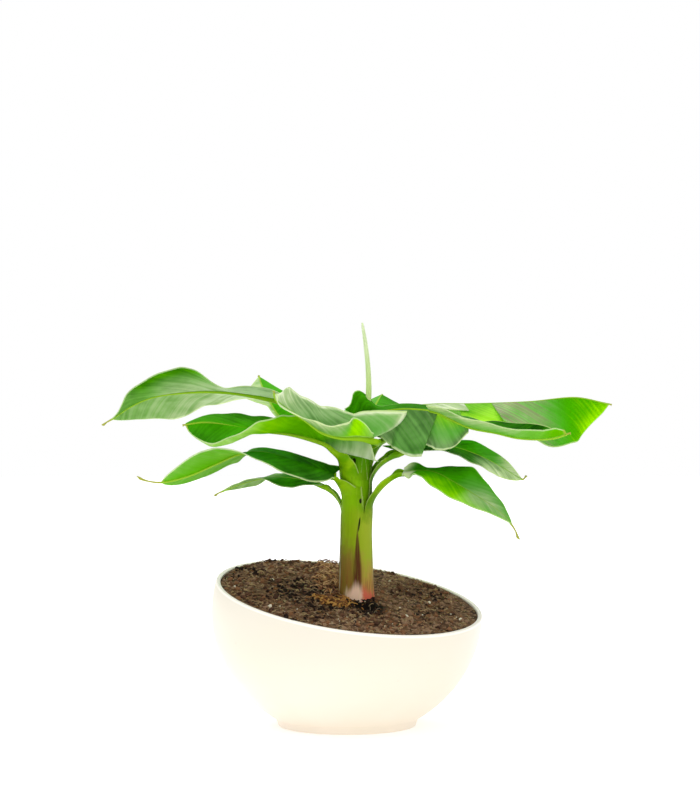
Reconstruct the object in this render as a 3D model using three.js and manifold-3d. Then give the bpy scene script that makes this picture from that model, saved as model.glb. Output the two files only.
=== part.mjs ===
// A young banana plant in a round bowl with a slanted rim.
// Millimetres, +Z up. The origin is under the middle of the bowl's foot, and -Y is the front.

import * as THREE from 'three';
import { mergeVertices } from 'three/addons/utils/BufferGeometryUtils.js';
import Module from 'manifold-3d';

const wasm = await Module();
wasm.setup();

// ---- driving dimensions ----

const GAP = 0.3; // air left between neighbouring pieces
const MERGE_REACH = 1e-4; // corners this close are one corner

const BOWL_RADIUS = 150; // widest outside radius
const BOWL_WIDEST_HEIGHT = 126; // height of the widest ring
const BOWL_DEPTH = 138.8; // vertical half-axis of the outside curve
const BOWL_WALL = 5;
const FOOT_RADIUS = 76;
const FOOT_HEIGHT = 8;
const FOOT_FLARE = 2.5;
const FLOOR_HEIGHT = 12; // inside floor of the bowl
const RIM_HEIGHT = 144.4; // height of the slanted rim plane on the bowl's axis
const RIM_SLANT = 12.9; // degrees from level
const RIM_HIGH_SIDE = 127.6; // degrees from +X to the rim's highest point
const BOWL_SIDES = 32;
const BOWL_STEPS = 9; // rings from the foot up to the rim

const SOIL_DROP = 4; // soil below the rim plane along the wall
const SOIL_CROWN_RADIUS = 50; // soil is level with the rim plane inside this radius
const CUT_REACH = 200; // half width of the bodies that only cut others

const STEM_TOP = 331;
const STEM_LINE = 12; // the stem's axis lies this far right of the bowl's
const STALK_OFFSET = 7; // from the stem's axis to where a stalk starts inside it
const STALK_BEND = 0.4; // how soon a stalk turns into its blade's line
const STEM_SIDES = 16;
const STEM_STEPS = 14;
const SPEAR_STEPS = 12;
const STALK_SIDES = 8;
const STALK_STEPS = 6;

const BLADE_THICKNESS = 1.6;
const BLADE_STATIONS = 12; // sections along one blade
const HALF_COLUMNS = 3; // strips across one half of a blade
const BLADE_FOOT = 3; // half width of a blade where its stalk enters
const TENDRIL_RADIUS = 0.8;
const BASE_ROUNDNESS = 0.6; // smaller is blunter
const TIP_ROUNDNESS = 0.85;

// ---- colours and finishes ----

const finish = (color, roughness) => new THREE.MeshStandardMaterial({ color, roughness, metalness: 0 });

const BOWL_WHITE = finish(0xf6f1e4, 0.35);
const SOIL_BROWN = finish(0x4a3226, 0.95);
const STEM_GREEN = finish(0x7fa617, 0.45);
const SPEAR_GREEN = finish(0xbfd77a, 0.45);
const LEAF_GREEN = finish(0x3c9310, 0.35);

// ---- small tools ----

const v = (x, y, z) => new THREE.Vector3(x, y, z);
const radians = THREE.MathUtils.degToRad;
const UP = v(0, 0, 1);

// Reads a list of [place, value] pairs at the place s, easing from each pair to the next.
function keyed(pairs, s) {
  const next = pairs.findIndex(([place]) => place >= s);
  if (next === 0 || pairs.length === 1) return pairs[0][1];
  if (next < 0) return pairs.at(-1)[1];
  const [from, before] = pairs[next - 1];
  const [to, after] = pairs[next];
  return THREE.MathUtils.lerp(before, after, THREE.MathUtils.smoothstep((s - from) / (to - from), 0, 1));
}

// Closes a row of rings, each with the same number of points, into one body.
function loft(rings) {
  const count = rings[0].length;
  const positions = rings.flat().flatMap((p) => [p.x, p.y, p.z]);
  const faces = [];
  const quad = (a, b, c, d) => faces.push(a, b, c, a, c, d);
  for (let i = 0; i + 1 < rings.length; i += 1) {
    for (let k = 0; k < count; k += 1) {
      const next = (k + 1) % count;
      quad(i * count + k, i * count + next, (i + 1) * count + next, (i + 1) * count + k);
    }
  }
  const last = (rings.length - 1) * count;
  for (let k = 0; k + 1 < count / 2; k += 1) {
    quad(count - 1 - k, count - 2 - k, k + 1, k);
    quad(last + k, last + k + 1, last + count - 2 - k, last + count - 1 - k);
  }
  const geometry = new THREE.BufferGeometry();
  geometry.setAttribute('position', new THREE.Float32BufferAttribute(positions, 3));
  geometry.setIndex(faces);
  return facingOut(geometry);
}

// Turns every face over if the body's faces point inwards.
function facingOut(geometry) {
  const position = geometry.getAttribute('position');
  const index = geometry.getIndex().array;
  const corner = (i) => new THREE.Vector3().fromBufferAttribute(position, index[i]);
  let volume = 0;
  for (let i = 0; i < index.length; i += 3) {
    volume += corner(i).dot(corner(i + 1).cross(corner(i + 2)));
  }
  if (volume < 0) {
    for (let i = 0; i < index.length; i += 3) {
      [index[i], index[i + 1]] = [index[i + 1], index[i]];
    }
  }
  return geometry;
}

// The frame of a curve: along, sideways (level) and over (the upper side).
function frameAt(curve, s) {
  const along = curve.getTangentAt(s);
  const side = along.clone().cross(UP).normalize();
  const over = side.clone().cross(along);
  return { point: curve.getPointAt(s), along, side, over };
}

// A round tapering limb along a curve. radiusAt gives its radius at s, and grow thickens it all over.
function limb(curve, radiusAt, sides, steps, grow = 0) {
  const { normals, binormals } = curve.computeFrenetFrames(steps, false);
  const ring = (i) => Array.from({ length: sides }, (_, k) => {
    const turn = (k / sides) * 2 * Math.PI;
    const radius = radiusAt(i / steps) + grow;
    const point = curve.getPointAt(i / steps);
    point.addScaledVector(normals[i], radius * Math.cos(turn));
    return point.addScaledVector(binormals[i], radius * Math.sin(turn));
  });
  return loft(Array.from({ length: steps + 1 }, (_, i) => ring(i)));
}

// ---- booleans ----

function solid(geometry) {
  const bare = new THREE.BufferGeometry();
  bare.setAttribute('position', geometry.getAttribute('position'));
  bare.setIndex(geometry.getIndex());
  const merged = mergeVertices(bare, MERGE_REACH);
  return new wasm.Manifold(
    new wasm.Mesh({
      numProp: 3,
      vertProperties: new Float32Array(merged.getAttribute('position').array),
      triVerts: new Uint32Array(merged.getIndex().array),
    }),
  );
}

function geometryOf(manifold) {
  const mesh = manifold.getMesh();
  const geometry = new THREE.BufferGeometry();
  geometry.setAttribute('position', new THREE.BufferAttribute(new Float32Array(mesh.vertProperties), 3));
  geometry.setIndex(new THREE.BufferAttribute(new Uint32Array(mesh.triVerts), 1));
  return geometry;
}

// ---- bowl and soil ----

const lathe = (profile) => {
  const points = profile.map(([r, z]) => new THREE.Vector2(r, z));
  return new THREE.LatheGeometry(points, BOWL_SIDES).rotateX(Math.PI / 2);
};

// Points of the bowl's curve, moved in by inset, from its lowest height up past the rim.
function bowlCurve(inset, from, to) {
  return Array.from({ length: BOWL_STEPS + 1 }, (_, i) => {
    const z = THREE.MathUtils.lerp(from, to, i / BOWL_STEPS);
    const rise = (z - BOWL_WIDEST_HEIGHT) / (BOWL_DEPTH - inset);
    return [(BOWL_RADIUS - inset) * Math.sqrt(1 - rise * rise), z];
  });
}

// Leans a body that was made round the Z axis, so that its level plane becomes the rim plane.
function leanToRim(geometry) {
  const high = radians(RIM_HIGH_SIDE);
  const hinge = v(Math.sin(high), -Math.cos(high), 0);
  const lean = new THREE.Matrix4().makeRotationAxis(hinge, radians(RIM_SLANT));
  lean.setPosition(0, 0, RIM_HEIGHT);
  return geometry.applyMatrix4(lean);
}

const ABOVE_RIM = 190; // higher than the highest point of the rim
const aboveRimBox = new THREE.BoxGeometry(2 * CUT_REACH, 2 * CUT_REACH, CUT_REACH);
const aboveRim = solid(leanToRim(aboveRimBox.translate(0, 0, CUT_REACH / 2)));

function bowl() {
  const outside = lathe([
    [0, 0],
    [FOOT_RADIUS, 0],
    [FOOT_RADIUS + FOOT_FLARE, FOOT_HEIGHT],
    ...bowlCurve(0, FOOT_HEIGHT + 1, ABOVE_RIM),
    [0, ABOVE_RIM],
  ]);
  const hollow = lathe([
    [0, FLOOR_HEIGHT],
    ...bowlCurve(BOWL_WALL, FLOOR_HEIGHT, ABOVE_RIM + BOWL_WALL),
    [0, ABOVE_RIM + BOWL_WALL],
  ]);
  return geometryOf(solid(outside).subtract(solid(hollow)).subtract(aboveRim));
}

// Everything under the soil's gently crowned surface, grown upwards by lift.
function underSoil(lift) {
  const profile = [
    [0, -CUT_REACH],
    [CUT_REACH, -CUT_REACH],
    [CUT_REACH, -SOIL_DROP],
    [BOWL_RADIUS - BOWL_WALL, -SOIL_DROP],
    [(BOWL_RADIUS + SOIL_CROWN_RADIUS) / 2, -SOIL_DROP / 3],
    [SOIL_CROWN_RADIUS, 0],
    [0, 0],
  ];
  return solid(leanToRim(lathe(profile.map(([r, z]) => [r, z + lift]))));
}

function soil() {
  const inset = BOWL_WALL + GAP;
  const bottom = FLOOR_HEIGHT + GAP;
  const top = ABOVE_RIM + BOWL_WALL;
  const fill = lathe([[0, bottom], ...bowlCurve(inset, bottom, top), [0, top]]);
  return geometryOf(solid(fill).intersect(underSoil(0)));
}

// ---- stem and spear ----

const curveThrough = (points) => new THREE.CatmullRomCurve3(points.map((p) => v(...p)));

// Both lean a little; the stem's foot starts below the soil, where it is cut flat.
const stemPath = curveThrough(
  [[9.5, 0, 90], [10.2, 0, 150], [10.4, 0, 215], [12, 0, 270], [13, 0, STEM_TOP]],
);
const STEM_RADII = [[0, 18.5], [0.25, 18.2], [0.5, 16.6], [0.65, 17.5], [0.8, 15.5], [0.9, 13], [1, 7]];
const spearPath = curveThrough(
  [[13, 0, 322], [18, 9, 340], [23.5, 17, 360], [23.8, 20, 392], [20.6, 20, 425], [17, 20, 448]],
);
const SPEAR_RADII = [[0, 4.5], [0.3, 3], [0.8, 2], [1, 0.9]];

const stemLimb = (grow) => limb(stemPath, (s) => keyed(STEM_RADII, s), STEM_SIDES, STEM_STEPS, grow);
const spearLimb = (grow) => limb(spearPath, (s) => keyed(SPEAR_RADII, s), STALK_SIDES, SPEAR_STEPS, grow);

// ---- leaves ----

// Each leaf: its rib from the stalk's end to the tip, the share of the rib that is the thin
// thread at the tip, and where the blade is widest. The left half is on the left looking from
// the stem to the tip. A half has its widest reach, its angle to the level (degrees, up is
// positive) at places along the rib, and where they differ from none the curl that its margin
// adds to that angle, the share of its full width that is left and the least width it has.
// Where sweep is given, the margin lies that share of the half's width further along the rib.
// root is the height at which the stalk leaves the stem, rise how far it follows the stem
// before it bends, bend how soon it turns into its blade's line, and stalk its radius at the
// stem and at the blade. tip is how blunt a blade's tip is.
const LEAVES = [
  {
    name: 'leaf_01', // upper left, its underside turned to the front
    rib: [
      [-52, 0, 355], [-95, 12, 365], [-138, 26, 371], [-182, 40, 371], [-225, 52, 365],
      [-251, 58, 354], [-271, 63, 341], [-283, 66, 334],
    ],
    thread: 0.055,
    widest: 0.55,
    tip: 0.8,
    left: {
      reach: 64,
      angle: [
        [0, 16], [0.12, 18], [0.29, 2], [0.44, 18], [0.51, 21], [0.6, 13], [0.84, 5], [0.92, -10],
        [1, -16],
      ],
      curl: [[0, 4], [0.45, 4], [0.6, 16], [0.8, 14], [1, 8]],
    },
    right: {
      reach: 66,
      angle: [[0, -2], [0.36, -4], [0.6, -12], [0.76, -29], [0.92, -31], [1, -38]],
      share: [[0, 1.08], [0.34, 1.08], [0.45, 1]],
    },
    root: 300,
    rise: 16,
    stalk: [6, 4.4],
  },
  {
    name: 'leaf_02', // left, folded like a gutter
    rib: [
      [-14, -30, 304], [-22, -33, 310.5], [-48, -42, 319.5], [-65, -48, 323], [-92, -57, 325.5],
      [-114, -63, 329], [-152, -74, 334], [-176, -81, 331],
    ],
    thread: 0.02,
    widest: 0.6,
    tip: 0.5,
    left: {
      reach: 56,
      angle: [
        [0, 18], [0.07, 20], [0.12, 32], [0.2, 35], [0.4, -5], [0.6, -21], [0.68, -38],
        [0.84, -85], [1, -85],
      ],
      curl: [
        [0, 0], [0.07, 10], [0.2, 60], [0.3, 45], [0.46, 95], [0.6, 85], [0.68, 95], [0.76, 138],
        [0.84, 130], [1, 90],
      ],
      share: [[0, 0.8], [0.3, 0.9], [0.6, 1], [1, 1]],
      least: [[0, 42], [0.1, 42], [0.25, 20], [0.5, 1], [1, 0.3]],
      sweep: [[0, -0.86], [0.08, -0.78], [0.17, -0.15], [0.27, 0]],
    },
    right: { reach: 48, angle: [[0, 34], [0.36, 23], [0.76, 17], [1, 4]] },
    root: 262,
    rise: 18,
    stalk: [11, 4.2],
  },
  {
    name: 'leaf_03', // lower left, twisted half way
    rib: [
      [-14, -22, 278], [-52, -32, 291], [-89, -42, 302], [-116, -50, 301], [-143, -56, 289],
      [-170, -62, 277], [-198, -68, 270], [-213, -72, 271], [-225, -75, 276],
    ],
    thread: 0.12,
    widest: 0.5,
    tip: 0.6,
    left: {
      reach: 42,
      angle: [
        [0, -60], [0.2, -36], [0.44, -20], [0.52, -9], [0.68, 28], [0.76, 38], [0.84, 42], [1, 42],
      ],
      least: [[0, 6], [0.08, 5], [0.2, 2], [1, 0.3]],
      sweep: [[0, -0.2], [0.1, 0]],
    },
    right: {
      reach: 42,
      angle: [
        [0, 44], [0.12, 24], [0.2, 18], [0.36, 11], [0.44, 3], [0.51, -14], [0.76, -16], [1, -24],
      ],
      least: [[0, 17], [0.08, 16], [0.2, 8], [0.4, 2], [1, 0.3]],
      sweep: [[0, -0.6], [0.08, -0.4], [0.15, 0]],
    },
    root: 252,
    rise: 9,
    bend: 0.12,
    stalk: [6.5, 4.2],
  },
  {
    name: 'leaf_04', // lowest left, behind the one above
    rib: [
      [-26, 10, 266], [-53, 25, 272], [-88, 42, 274], [-117, 56, 268], [-144, 68, 258],
      [-154, 72, 253],
    ],
    thread: 0.08,
    widest: 0.5,
    left: {
      reach: 32,
      angle: [[0, -8], [0.12, -12], [0.2, -23], [0.28, -20], [0.44, -5], [0.52, 0], [1, -5]],
    },
    right: { reach: 32, angle: [[0, -6], [0.28, 0], [0.44, 7], [0.6, 9], [0.76, -11], [1, -14]] },
    root: 232,
    rise: 18,
    bend: 0.12,
    stalk: [6.5, 3],
  },
  {
    name: 'leaf_05', // back left, rising away
    rib: [[-54, 34, 333], [-76, 60, 342], [-93, 100, 366], [-103, 140, 385], [-107, 165, 396]],
    thread: 0.03,
    widest: 0.5,
    left: {
      reach: 32,
      angle: [[0, -20], [1, -30]],
      share: [[0, 0.1], [0.45, 0.15], [0.62, 0.6], [0.75, 1], [1, 1]],
    },
    right: { reach: 48, angle: [[0, 0], [1, -20]] },
    root: 300,
    rise: 22,
    stalk: [5.5, 3.4],
  },
  {
    name: 'leaf_06', // front left, a short gutter with a broad base that reaches past the stem
    rib: [
      [27, -66, 317], [10, -76, 318], [-7, -84, 318], [-26, -93, 323], [-42, -100, 334],
      [-56, -106, 343], [-67, -111, 350], [-74, -114, 357], [-76, -116, 366],
    ],
    thread: 0.02,
    widest: 0.45,
    tip: 0.5,
    left: {
      reach: 30,
      angle: [
        [0, 60], [0.16, 74], [0.24, 52], [0.32, 34], [0.48, 11], [0.56, 3], [0.78, -13], [1, -25],
      ],
      least: [[0, 6], [0.08, 10], [0.15, 20], [0.3, 5], [1, 0.3]],
    },
    right: {
      reach: 44,
      angle: [
        [0, 66], [0.2, 60], [0.46, 46], [0.68, 42], [0.76, 48], [0.84, 58], [0.9, 60], [1, 48],
      ],
      curl: [[0, 75], [0.15, 40], [0.25, 0], [1, 0]],
      share: [[0, 0.7], [0.2, 0.75], [0.35, 1], [1, 1]],
      least: [
        [0, 34], [0.12, 32], [0.2, 29], [0.3, 20], [0.4, 2], [0.7, 15], [0.8, 24], [0.87, 25],
        [0.94, 20], [1, 6],
      ],
      sweep: [
        [0, -1.3], [0.12, -0.8], [0.2, -0.5], [0.3, -0.3], [0.5, 0], [0.75, 0.1], [0.9, 0.1],
        [1, 0],
      ],
    },
    root: 296,
    rise: 6,
    stalk: [5.5, 3.8],
  },
  {
    name: 'leaf_07', // right, its near half hanging and then folded up
    rib: [
      [18, -4, 338], [32, -10, 345], [50, -19, 349], [68, -30, 350], [97, -45, 346],
      [112, -50, 339], [133, -58, 329], [160, -65, 323], [186, -72, 317], [220, -80, 317],
      [239, -84, 323],
    ],
    thread: 0.02,
    widest: 0.4,
    left: {
      reach: 62,
      angle: [
        [0, 46], [0.03, 54], [0.05, 86], [0.064, 46], [0.08, 18], [0.36, -2], [0.68, 15],
        [0.92, 50], [1, 50],
      ],
      least: [[0, 36], [0.03, 32], [0.05, 53], [0.066, 32], [0.2, 10], [1, 0.3]],
      sweep: [
        [0, -0.78], [0.02, -0.5], [0.04, -0.16], [0.052, -0.2], [0.075, -0.5], [0.1, -0.3],
        [0.14, 0],
      ],
    },
    right: {
      reach: 60,
      angle: [
        [0, -74], [0.15, -75], [0.24, -58], [0.36, -57], [0.45, -74], [0.53, -60], [0.62, 22],
        [0.8, 23], [1, 58],
      ],
      share: [[0, 1], [0.39, 0.95], [0.5, 0.6], [0.57, 0.28], [0.7, 0.5], [0.8, 0.67], [1, 0.67]],
      least: [[0, 24], [0.15, 24], [0.3, 2], [0.6, 8], [0.8, 12], [0.97, 10], [1, 3]],
    },
    root: 304,
    rise: 12,
    stalk: [5.5, 3.8],
  },
  {
    name: 'leaf_08', // upper right, its upper side turned to the front
    rib: [
      [43, 20, 338], [72, 40, 354], [99, 55, 358], [144, 75, 359], [213, 92, 362], [269, 100, 367],
      [301, 104, 361], [311, 105, 359],
    ],
    thread: 0.01,
    widest: 0.68,
    left: { reach: 62, angle: [[0, -10], [0.3, -15], [1, -20]] },
    right: {
      reach: 70,
      angle: [[0, -26], [0.42, -34], [0.53, -32], [0.6, -37], [0.68, -50], [0.84, -67], [1, -71]],
      share: [[0, 0.3], [0.36, 0.4], [0.45, 0.75], [0.6, 1]],
    },
    root: 300,
    rise: 14,
    stalk: [6, 3.8],
  },
  {
    name: 'leaf_09', // right, under the big ones
    rib: [
      [57, 8, 304], [80, 18, 309], [117, 30, 309], [151, 37, 298], [178, 41, 284], [200, 43, 272],
      [204, 44, 276],
    ],
    thread: 0.04,
    widest: 0.5,
    left: {
      reach: 42,
      angle: [[0, 36], [0.08, 26], [0.18, 3], [0.36, 0], [0.44, 5], [0.52, 18], [0.6, 24], [1, 34]],
      least: [[0, 14], [0.08, 13], [0.2, 3], [1, 0.3]],
      sweep: [[0, -0.9], [0.08, -0.6], [0.16, 0]],
    },
    right: {
      reach: 42,
      angle: [[0, -10], [0.28, -10], [0.44, -18], [0.76, -25], [0.84, -33], [1, -42]],
    },
    root: 264,
    rise: 18,
    bend: 0.25,
    stalk: [9, 4.4],
  },
  {
    name: 'leaf_10', // lowest right, its upper side turned to the front
    rib: [
      [62, -26, 281], [93, -38, 281], [117, -48, 269], [138, -56, 256], [163, -64, 239],
      [178, -68, 224], [186, -70, 208],
    ],
    thread: 0.12,
    widest: 0.48,
    left: {
      reach: 46,
      angle: [[0, 55], [0.06, 34], [0.12, 7], [0.2, 4], [0.44, 23], [0.6, 15], [1, 10]],
      least: [[0, 5], [0.08, 7], [0.2, 2], [1, 0.3]],
    },
    right: {
      reach: 38,
      angle: [[0, -38], [0.07, -34], [0.13, -6], [0.2, -11], [0.36, -15], [1, -14]],
      least: [[0, 7], [0.07, 7], [0.13, 2], [1, 0.3]],
    },
    root: 239,
    rise: 15,
    bend: 0.22,
    stalk: [8, 3.6],
  },
  {
    name: 'leaf_11', // straight back, its tip showing over the crown
    rib: [[20, 34, 336], [28, 80, 350], [34, 120, 360], [39, 170, 369], [43, 212, 375]],
    thread: 0.03,
    widest: 0.38,
    left: { reach: 52, angle: [[0, -5], [0.3, -15], [1, -20]] },
    right: { reach: 52, angle: [[0, -5], [0.3, -15], [1, -22]] },
    root: 298,
    rise: 14,
    stalk: [6, 3.4],
  },
  {
    name: 'leaf_12', // back right, hidden from the front
    rib: [[42, 44, 318], [62, 82, 326], [84, 124, 329], [104, 160, 326], [116, 184, 320]],
    thread: 0.03,
    widest: 0.45,
    left: { reach: 40, angle: [[0, 8], [0.4, 6], [1, -5]] },
    right: { reach: 40, angle: [[0, -8], [1, -12]] },
    root: 262,
    rise: 20,
    stalk: [7, 3.2],
  },
];

const NONE = [[0, 0]];
const FULL_WIDTH = [[0, 1]];
const LEAST_WIDTH = [[0, BLADE_FOOT], [0.2, 2], [0.9, TENDRIL_RADIUS]];

const ribOf = (leaf) => curveThrough(leaf.rib);

// How wide a blade is at s, as a share of its widest reach.
function outline(s, { widest, tip = TIP_ROUNDNESS }) {
  const share = s < widest ? s / widest : (1 - s) / (1 - widest);
  const roundness = s < widest ? BASE_ROUNDNESS : tip;
  return Math.sin((share * Math.PI) / 2) ** roundness;
}

// Points and normals of one half's section, from the rib to the margin.
function halfSection(frame, half, width, s, hand) {
  const start = keyed(half.angle, s);
  const curl = keyed(half.curl ?? NONE, s);
  const sweep = keyed(half.sweep ?? NONE, s);
  const out = frame.side.clone().multiplyScalar(hand);
  const point = frame.point.clone();
  const section = [];
  for (let k = 0; k <= HALF_COLUMNS; k += 1) {
    const here = k / HALF_COLUMNS;
    const bend = radians(start + curl * here * here);
    const normal = frame.over.clone().multiplyScalar(Math.cos(bend)).addScaledVector(out, -Math.sin(bend));
    section.push({ point: point.clone(), normal });
    const middle = (k + 0.5) / HALF_COLUMNS;
    const turn = radians(start + curl * middle * middle);
    point.addScaledVector(out, (width / HALF_COLUMNS) * Math.cos(turn));
    point.addScaledVector(frame.over, (width / HALF_COLUMNS) * Math.sin(turn));
    point.addScaledVector(frame.along, (width / HALF_COLUMNS) * sweep);
  }
  return section;
}

// A thin closed blade: its upper and lower skins, joined at the margins.
function blade(leaf) {
  const rib = ribOf(leaf);
  const bladeEnd = 1 - leaf.thread;
  const closerAtTheEnds = (_, i) => (1 - Math.cos((i / BLADE_STATIONS) * Math.PI)) / 2;
  const places = Array.from({ length: BLADE_STATIONS + 1 }, closerAtTheEnds);
  places.push(1 + leaf.thread / 2, 1 + leaf.thread);
  const rings = places.map((s) => {
    const frame = frameAt(rib, Math.min(s * bladeEnd, 1));
    const share = s < 1 ? outline(s, leaf) : 0;
    const least = (half) => (s > 1 ? TENDRIL_RADIUS : keyed(half.least ?? LEAST_WIDTH, s));
    const width = (half) => {
      const full = half.reach * share * keyed(half.share ?? FULL_WIDTH, s);
      return Math.max(full, least(half), TENDRIL_RADIUS);
    };
    const left = halfSection(frame, leaf.left, width(leaf.left), s, -1);
    const right = halfSection(frame, leaf.right, width(leaf.right), s, 1);
    const middle = { point: frame.point, normal: left[0].normal.clone().add(right[0].normal).normalize() };
    const section = [...left.slice(1).reverse(), middle, ...right.slice(1)];
    const moved = ({ point, normal }, offset) => point.clone().addScaledVector(normal, offset);
    const skin = (offset) => section.map((spot) => moved(spot, offset));
    return [...skin(BLADE_THICKNESS / 2), ...skin(-BLADE_THICKNESS / 2).reverse()];
  });
  return loft(rings);
}

// The stalk runs up beside the stem, bends over and meets the blade square on.
function stalkPath(leaf) {
  const rib = ribOf(leaf);
  const towards = v(leaf.rib[1][0] - STEM_LINE, leaf.rib[1][1], 0).normalize();
  const start = v(STEM_LINE, 0, leaf.root).addScaledVector(towards, STALK_OFFSET);
  const end = rib.getPointAt(0);
  const along = rib.getTangentAt(0);
  const reach = start.distanceTo(end) * (leaf.bend ?? STALK_BEND);
  return new THREE.CubicBezierCurve3(
    start,
    start.clone().addScaledVector(UP, leaf.rise),
    end.clone().addScaledVector(along, -reach),
    end.clone().addScaledVector(along, -GAP),
  );
}

const stalk = (leaf, grow) => {
  const [thick, thin] = leaf.stalk;
  const radiusAt = (s) => THREE.MathUtils.lerp(thick, thin, s);
  return limb(stalkPath(leaf), radiusAt, STALK_SIDES, STALK_STEPS, grow);
};

// ---- the plant ----

const plant = new THREE.Group();

function add(name, geometry, material) {
  const mesh = new THREE.Mesh(geometry, material);
  mesh.name = name;
  plant.add(mesh);
}

add('bowl', bowl(), BOWL_WHITE);
add('soil', soil(), SOIL_BROWN);
add('stem', geometryOf(solid(stemLimb(0)).subtract(underSoil(GAP))), STEM_GREEN);

// Each limb is cut back from the stem and from the limbs placed before it.
const taken = [solid(stemLimb(GAP))];
function placeLimb(name, shape, material) {
  const free = taken.reduce((rest, other) => rest.subtract(other), solid(shape(0)));
  add(name, geometryOf(free), material);
  taken.push(solid(shape(GAP)));
}

placeLimb('spear', spearLimb, SPEAR_GREEN);
LEAVES.forEach((leaf) => {
  placeLimb(leaf.name.replace('leaf', 'stalk'), (grow) => stalk(leaf, grow), STEM_GREEN);
});
LEAVES.forEach((leaf) => {
  const free = taken.reduce((rest, other) => rest.subtract(other), solid(blade(leaf)));
  add(leaf.name, geometryOf(free), LEAF_GREEN);
});

export default plant;
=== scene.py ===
"""A young banana plant in a round white bowl with a slanted rim."""

import math

import bmesh
import bpy
import numpy as np
from mathutils import Matrix, Vector, noise


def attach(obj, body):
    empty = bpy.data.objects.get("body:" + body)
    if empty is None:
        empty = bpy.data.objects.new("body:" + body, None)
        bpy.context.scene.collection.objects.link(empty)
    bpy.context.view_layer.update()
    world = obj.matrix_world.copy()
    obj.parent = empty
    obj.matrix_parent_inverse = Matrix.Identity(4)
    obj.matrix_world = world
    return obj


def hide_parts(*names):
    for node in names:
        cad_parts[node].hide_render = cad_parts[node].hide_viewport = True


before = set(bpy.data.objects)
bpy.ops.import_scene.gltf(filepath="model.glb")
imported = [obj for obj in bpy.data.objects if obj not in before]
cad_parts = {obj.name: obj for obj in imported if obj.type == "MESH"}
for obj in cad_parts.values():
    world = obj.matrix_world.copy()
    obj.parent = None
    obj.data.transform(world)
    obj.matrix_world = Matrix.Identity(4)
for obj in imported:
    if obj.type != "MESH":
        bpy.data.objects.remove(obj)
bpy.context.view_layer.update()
bpy.ops.object.select_all(action="DESELECT")

# ---- the studio ----
# The camera stands two metres in front of the plant, as high as its leaf stalks, and looks up a little.
# Light comes from all round, with a broad soft lamp above and behind and a weak one in front, over a
# white floor.

MM = 0.001
CAMERA_PLACE = (3.3 * MM, -2.0, 292 * MM)
CAMERA_LIFT = math.radians(1.95)
LENS = 80.7
SENSOR = 36

bpy.ops.object.camera_add(location=CAMERA_PLACE, rotation=(math.pi / 2 + CAMERA_LIFT, 0, 0))
camera = bpy.context.object
camera.data.sensor_fit = "VERTICAL"
camera.data.sensor_height = SENSOR
camera.data.lens = LENS
bpy.context.scene.camera = camera

FLOOR_REACH = 30
SKY_STRENGTH = 0.76
TOP_LAMP = (1.9, 60)  # strength and spread in degrees
FRONT_LAMP = (0.35, 80)
FLOOR_FINISH = {
    "Base Color": (0.93, 0.93, 0.93, 1),
    "Roughness": 0.9,
    "Specular IOR Level": 0.1,
    "Emission Color": (1, 1, 1, 1),
    "Emission Strength": 0.3,
}

bpy.ops.mesh.primitive_circle_add(vertices=64, radius=FLOOR_REACH, fill_type="NGON")
floor = bpy.context.object
floor.name = "floor"
floor_white = bpy.data.materials.new("floor white")
floor_white.use_nodes = True
for socket, value in FLOOR_FINISH.items():
    floor_white.node_tree.nodes["Principled BSDF"].inputs[socket].default_value = value
floor.data.materials.append(floor_white)

sky = bpy.data.worlds.new("studio")
sky.use_nodes = True
bpy.context.scene.world = sky
white_wall = sky.node_tree.nodes.new("ShaderNodeBackground")
white_wall.inputs["Strength"].default_value = 1.0
white_wall.inputs["Color"].default_value = (1, 1, 1, 1)
dome = sky.node_tree.nodes["Background"]
dome.inputs["Color"].default_value = (1, 1, 1, 1)
dome.inputs["Strength"].default_value = SKY_STRENGTH
seen = sky.node_tree.nodes.new("ShaderNodeLightPath")
either = sky.node_tree.nodes.new("ShaderNodeMixShader")
sky.node_tree.links.new(seen.outputs["Is Camera Ray"], either.inputs[0])
sky.node_tree.links.new(dome.outputs[0], either.inputs[1])
sky.node_tree.links.new(white_wall.outputs[0], either.inputs[2])
sky.node_tree.links.new(either.outputs[0], sky.node_tree.nodes["World Output"].inputs["Surface"])


def lamp(name, direction, strength, spread):
    """A soft lamp, far off in a direction given as a point that it shines from."""
    bpy.ops.object.light_add(type="SUN", location=direction)
    made = bpy.context.object
    made.name = name
    made.rotation_euler = Vector(direction).to_track_quat("Z", "Y").to_euler()
    made.data.energy = strength
    made.data.angle = math.radians(spread)


lamp("top lamp", (-0.5, 0.7, 2.2), *TOP_LAMP)
lamp("front lamp", (0.5, -2.0, 0.5), *FRONT_LAMP)
bpy.context.scene.view_settings.view_transform = "Standard"

# ---- the bowl ----
# A thin-walled round bowl of white plastic, moulded in one piece, with a short foot ring.
# Its mouth is cut at a slant and the cut edge is rounded over.

BOWL_RADIUS = 150 * MM
BOWL_WIDEST = 126 * MM
BOWL_DEPTH = 138.8 * MM
BOWL_WALL = 5 * MM
FOOT_RADIUS = 76 * MM
FOOT_HEIGHT = 8 * MM
FOOT_RING = 9 * MM  # width of the ring that the bowl stands on
FOOT_HOLLOW = 2 * MM
FOOT_STEP = 0.6 * MM  # the curve turns into the foot over this
FOOT_CHAMFER = 1 * MM
RIM_HEIGHT = 144.4 * MM  # height of the slanted rim's plane on the bowl's axis
RIM_RISE = math.tan(math.radians(12.9))
RIM_HIGH_SIDE = math.radians(127.6)  # where round the bowl the rim is highest
RIM_ROUND = 1.5 * MM
BOWL_SEGMENTS = 128
BOWL_RINGS = 36
RING_STEP = 1 * MM  # how far apart rings lie before they are shaped
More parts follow.
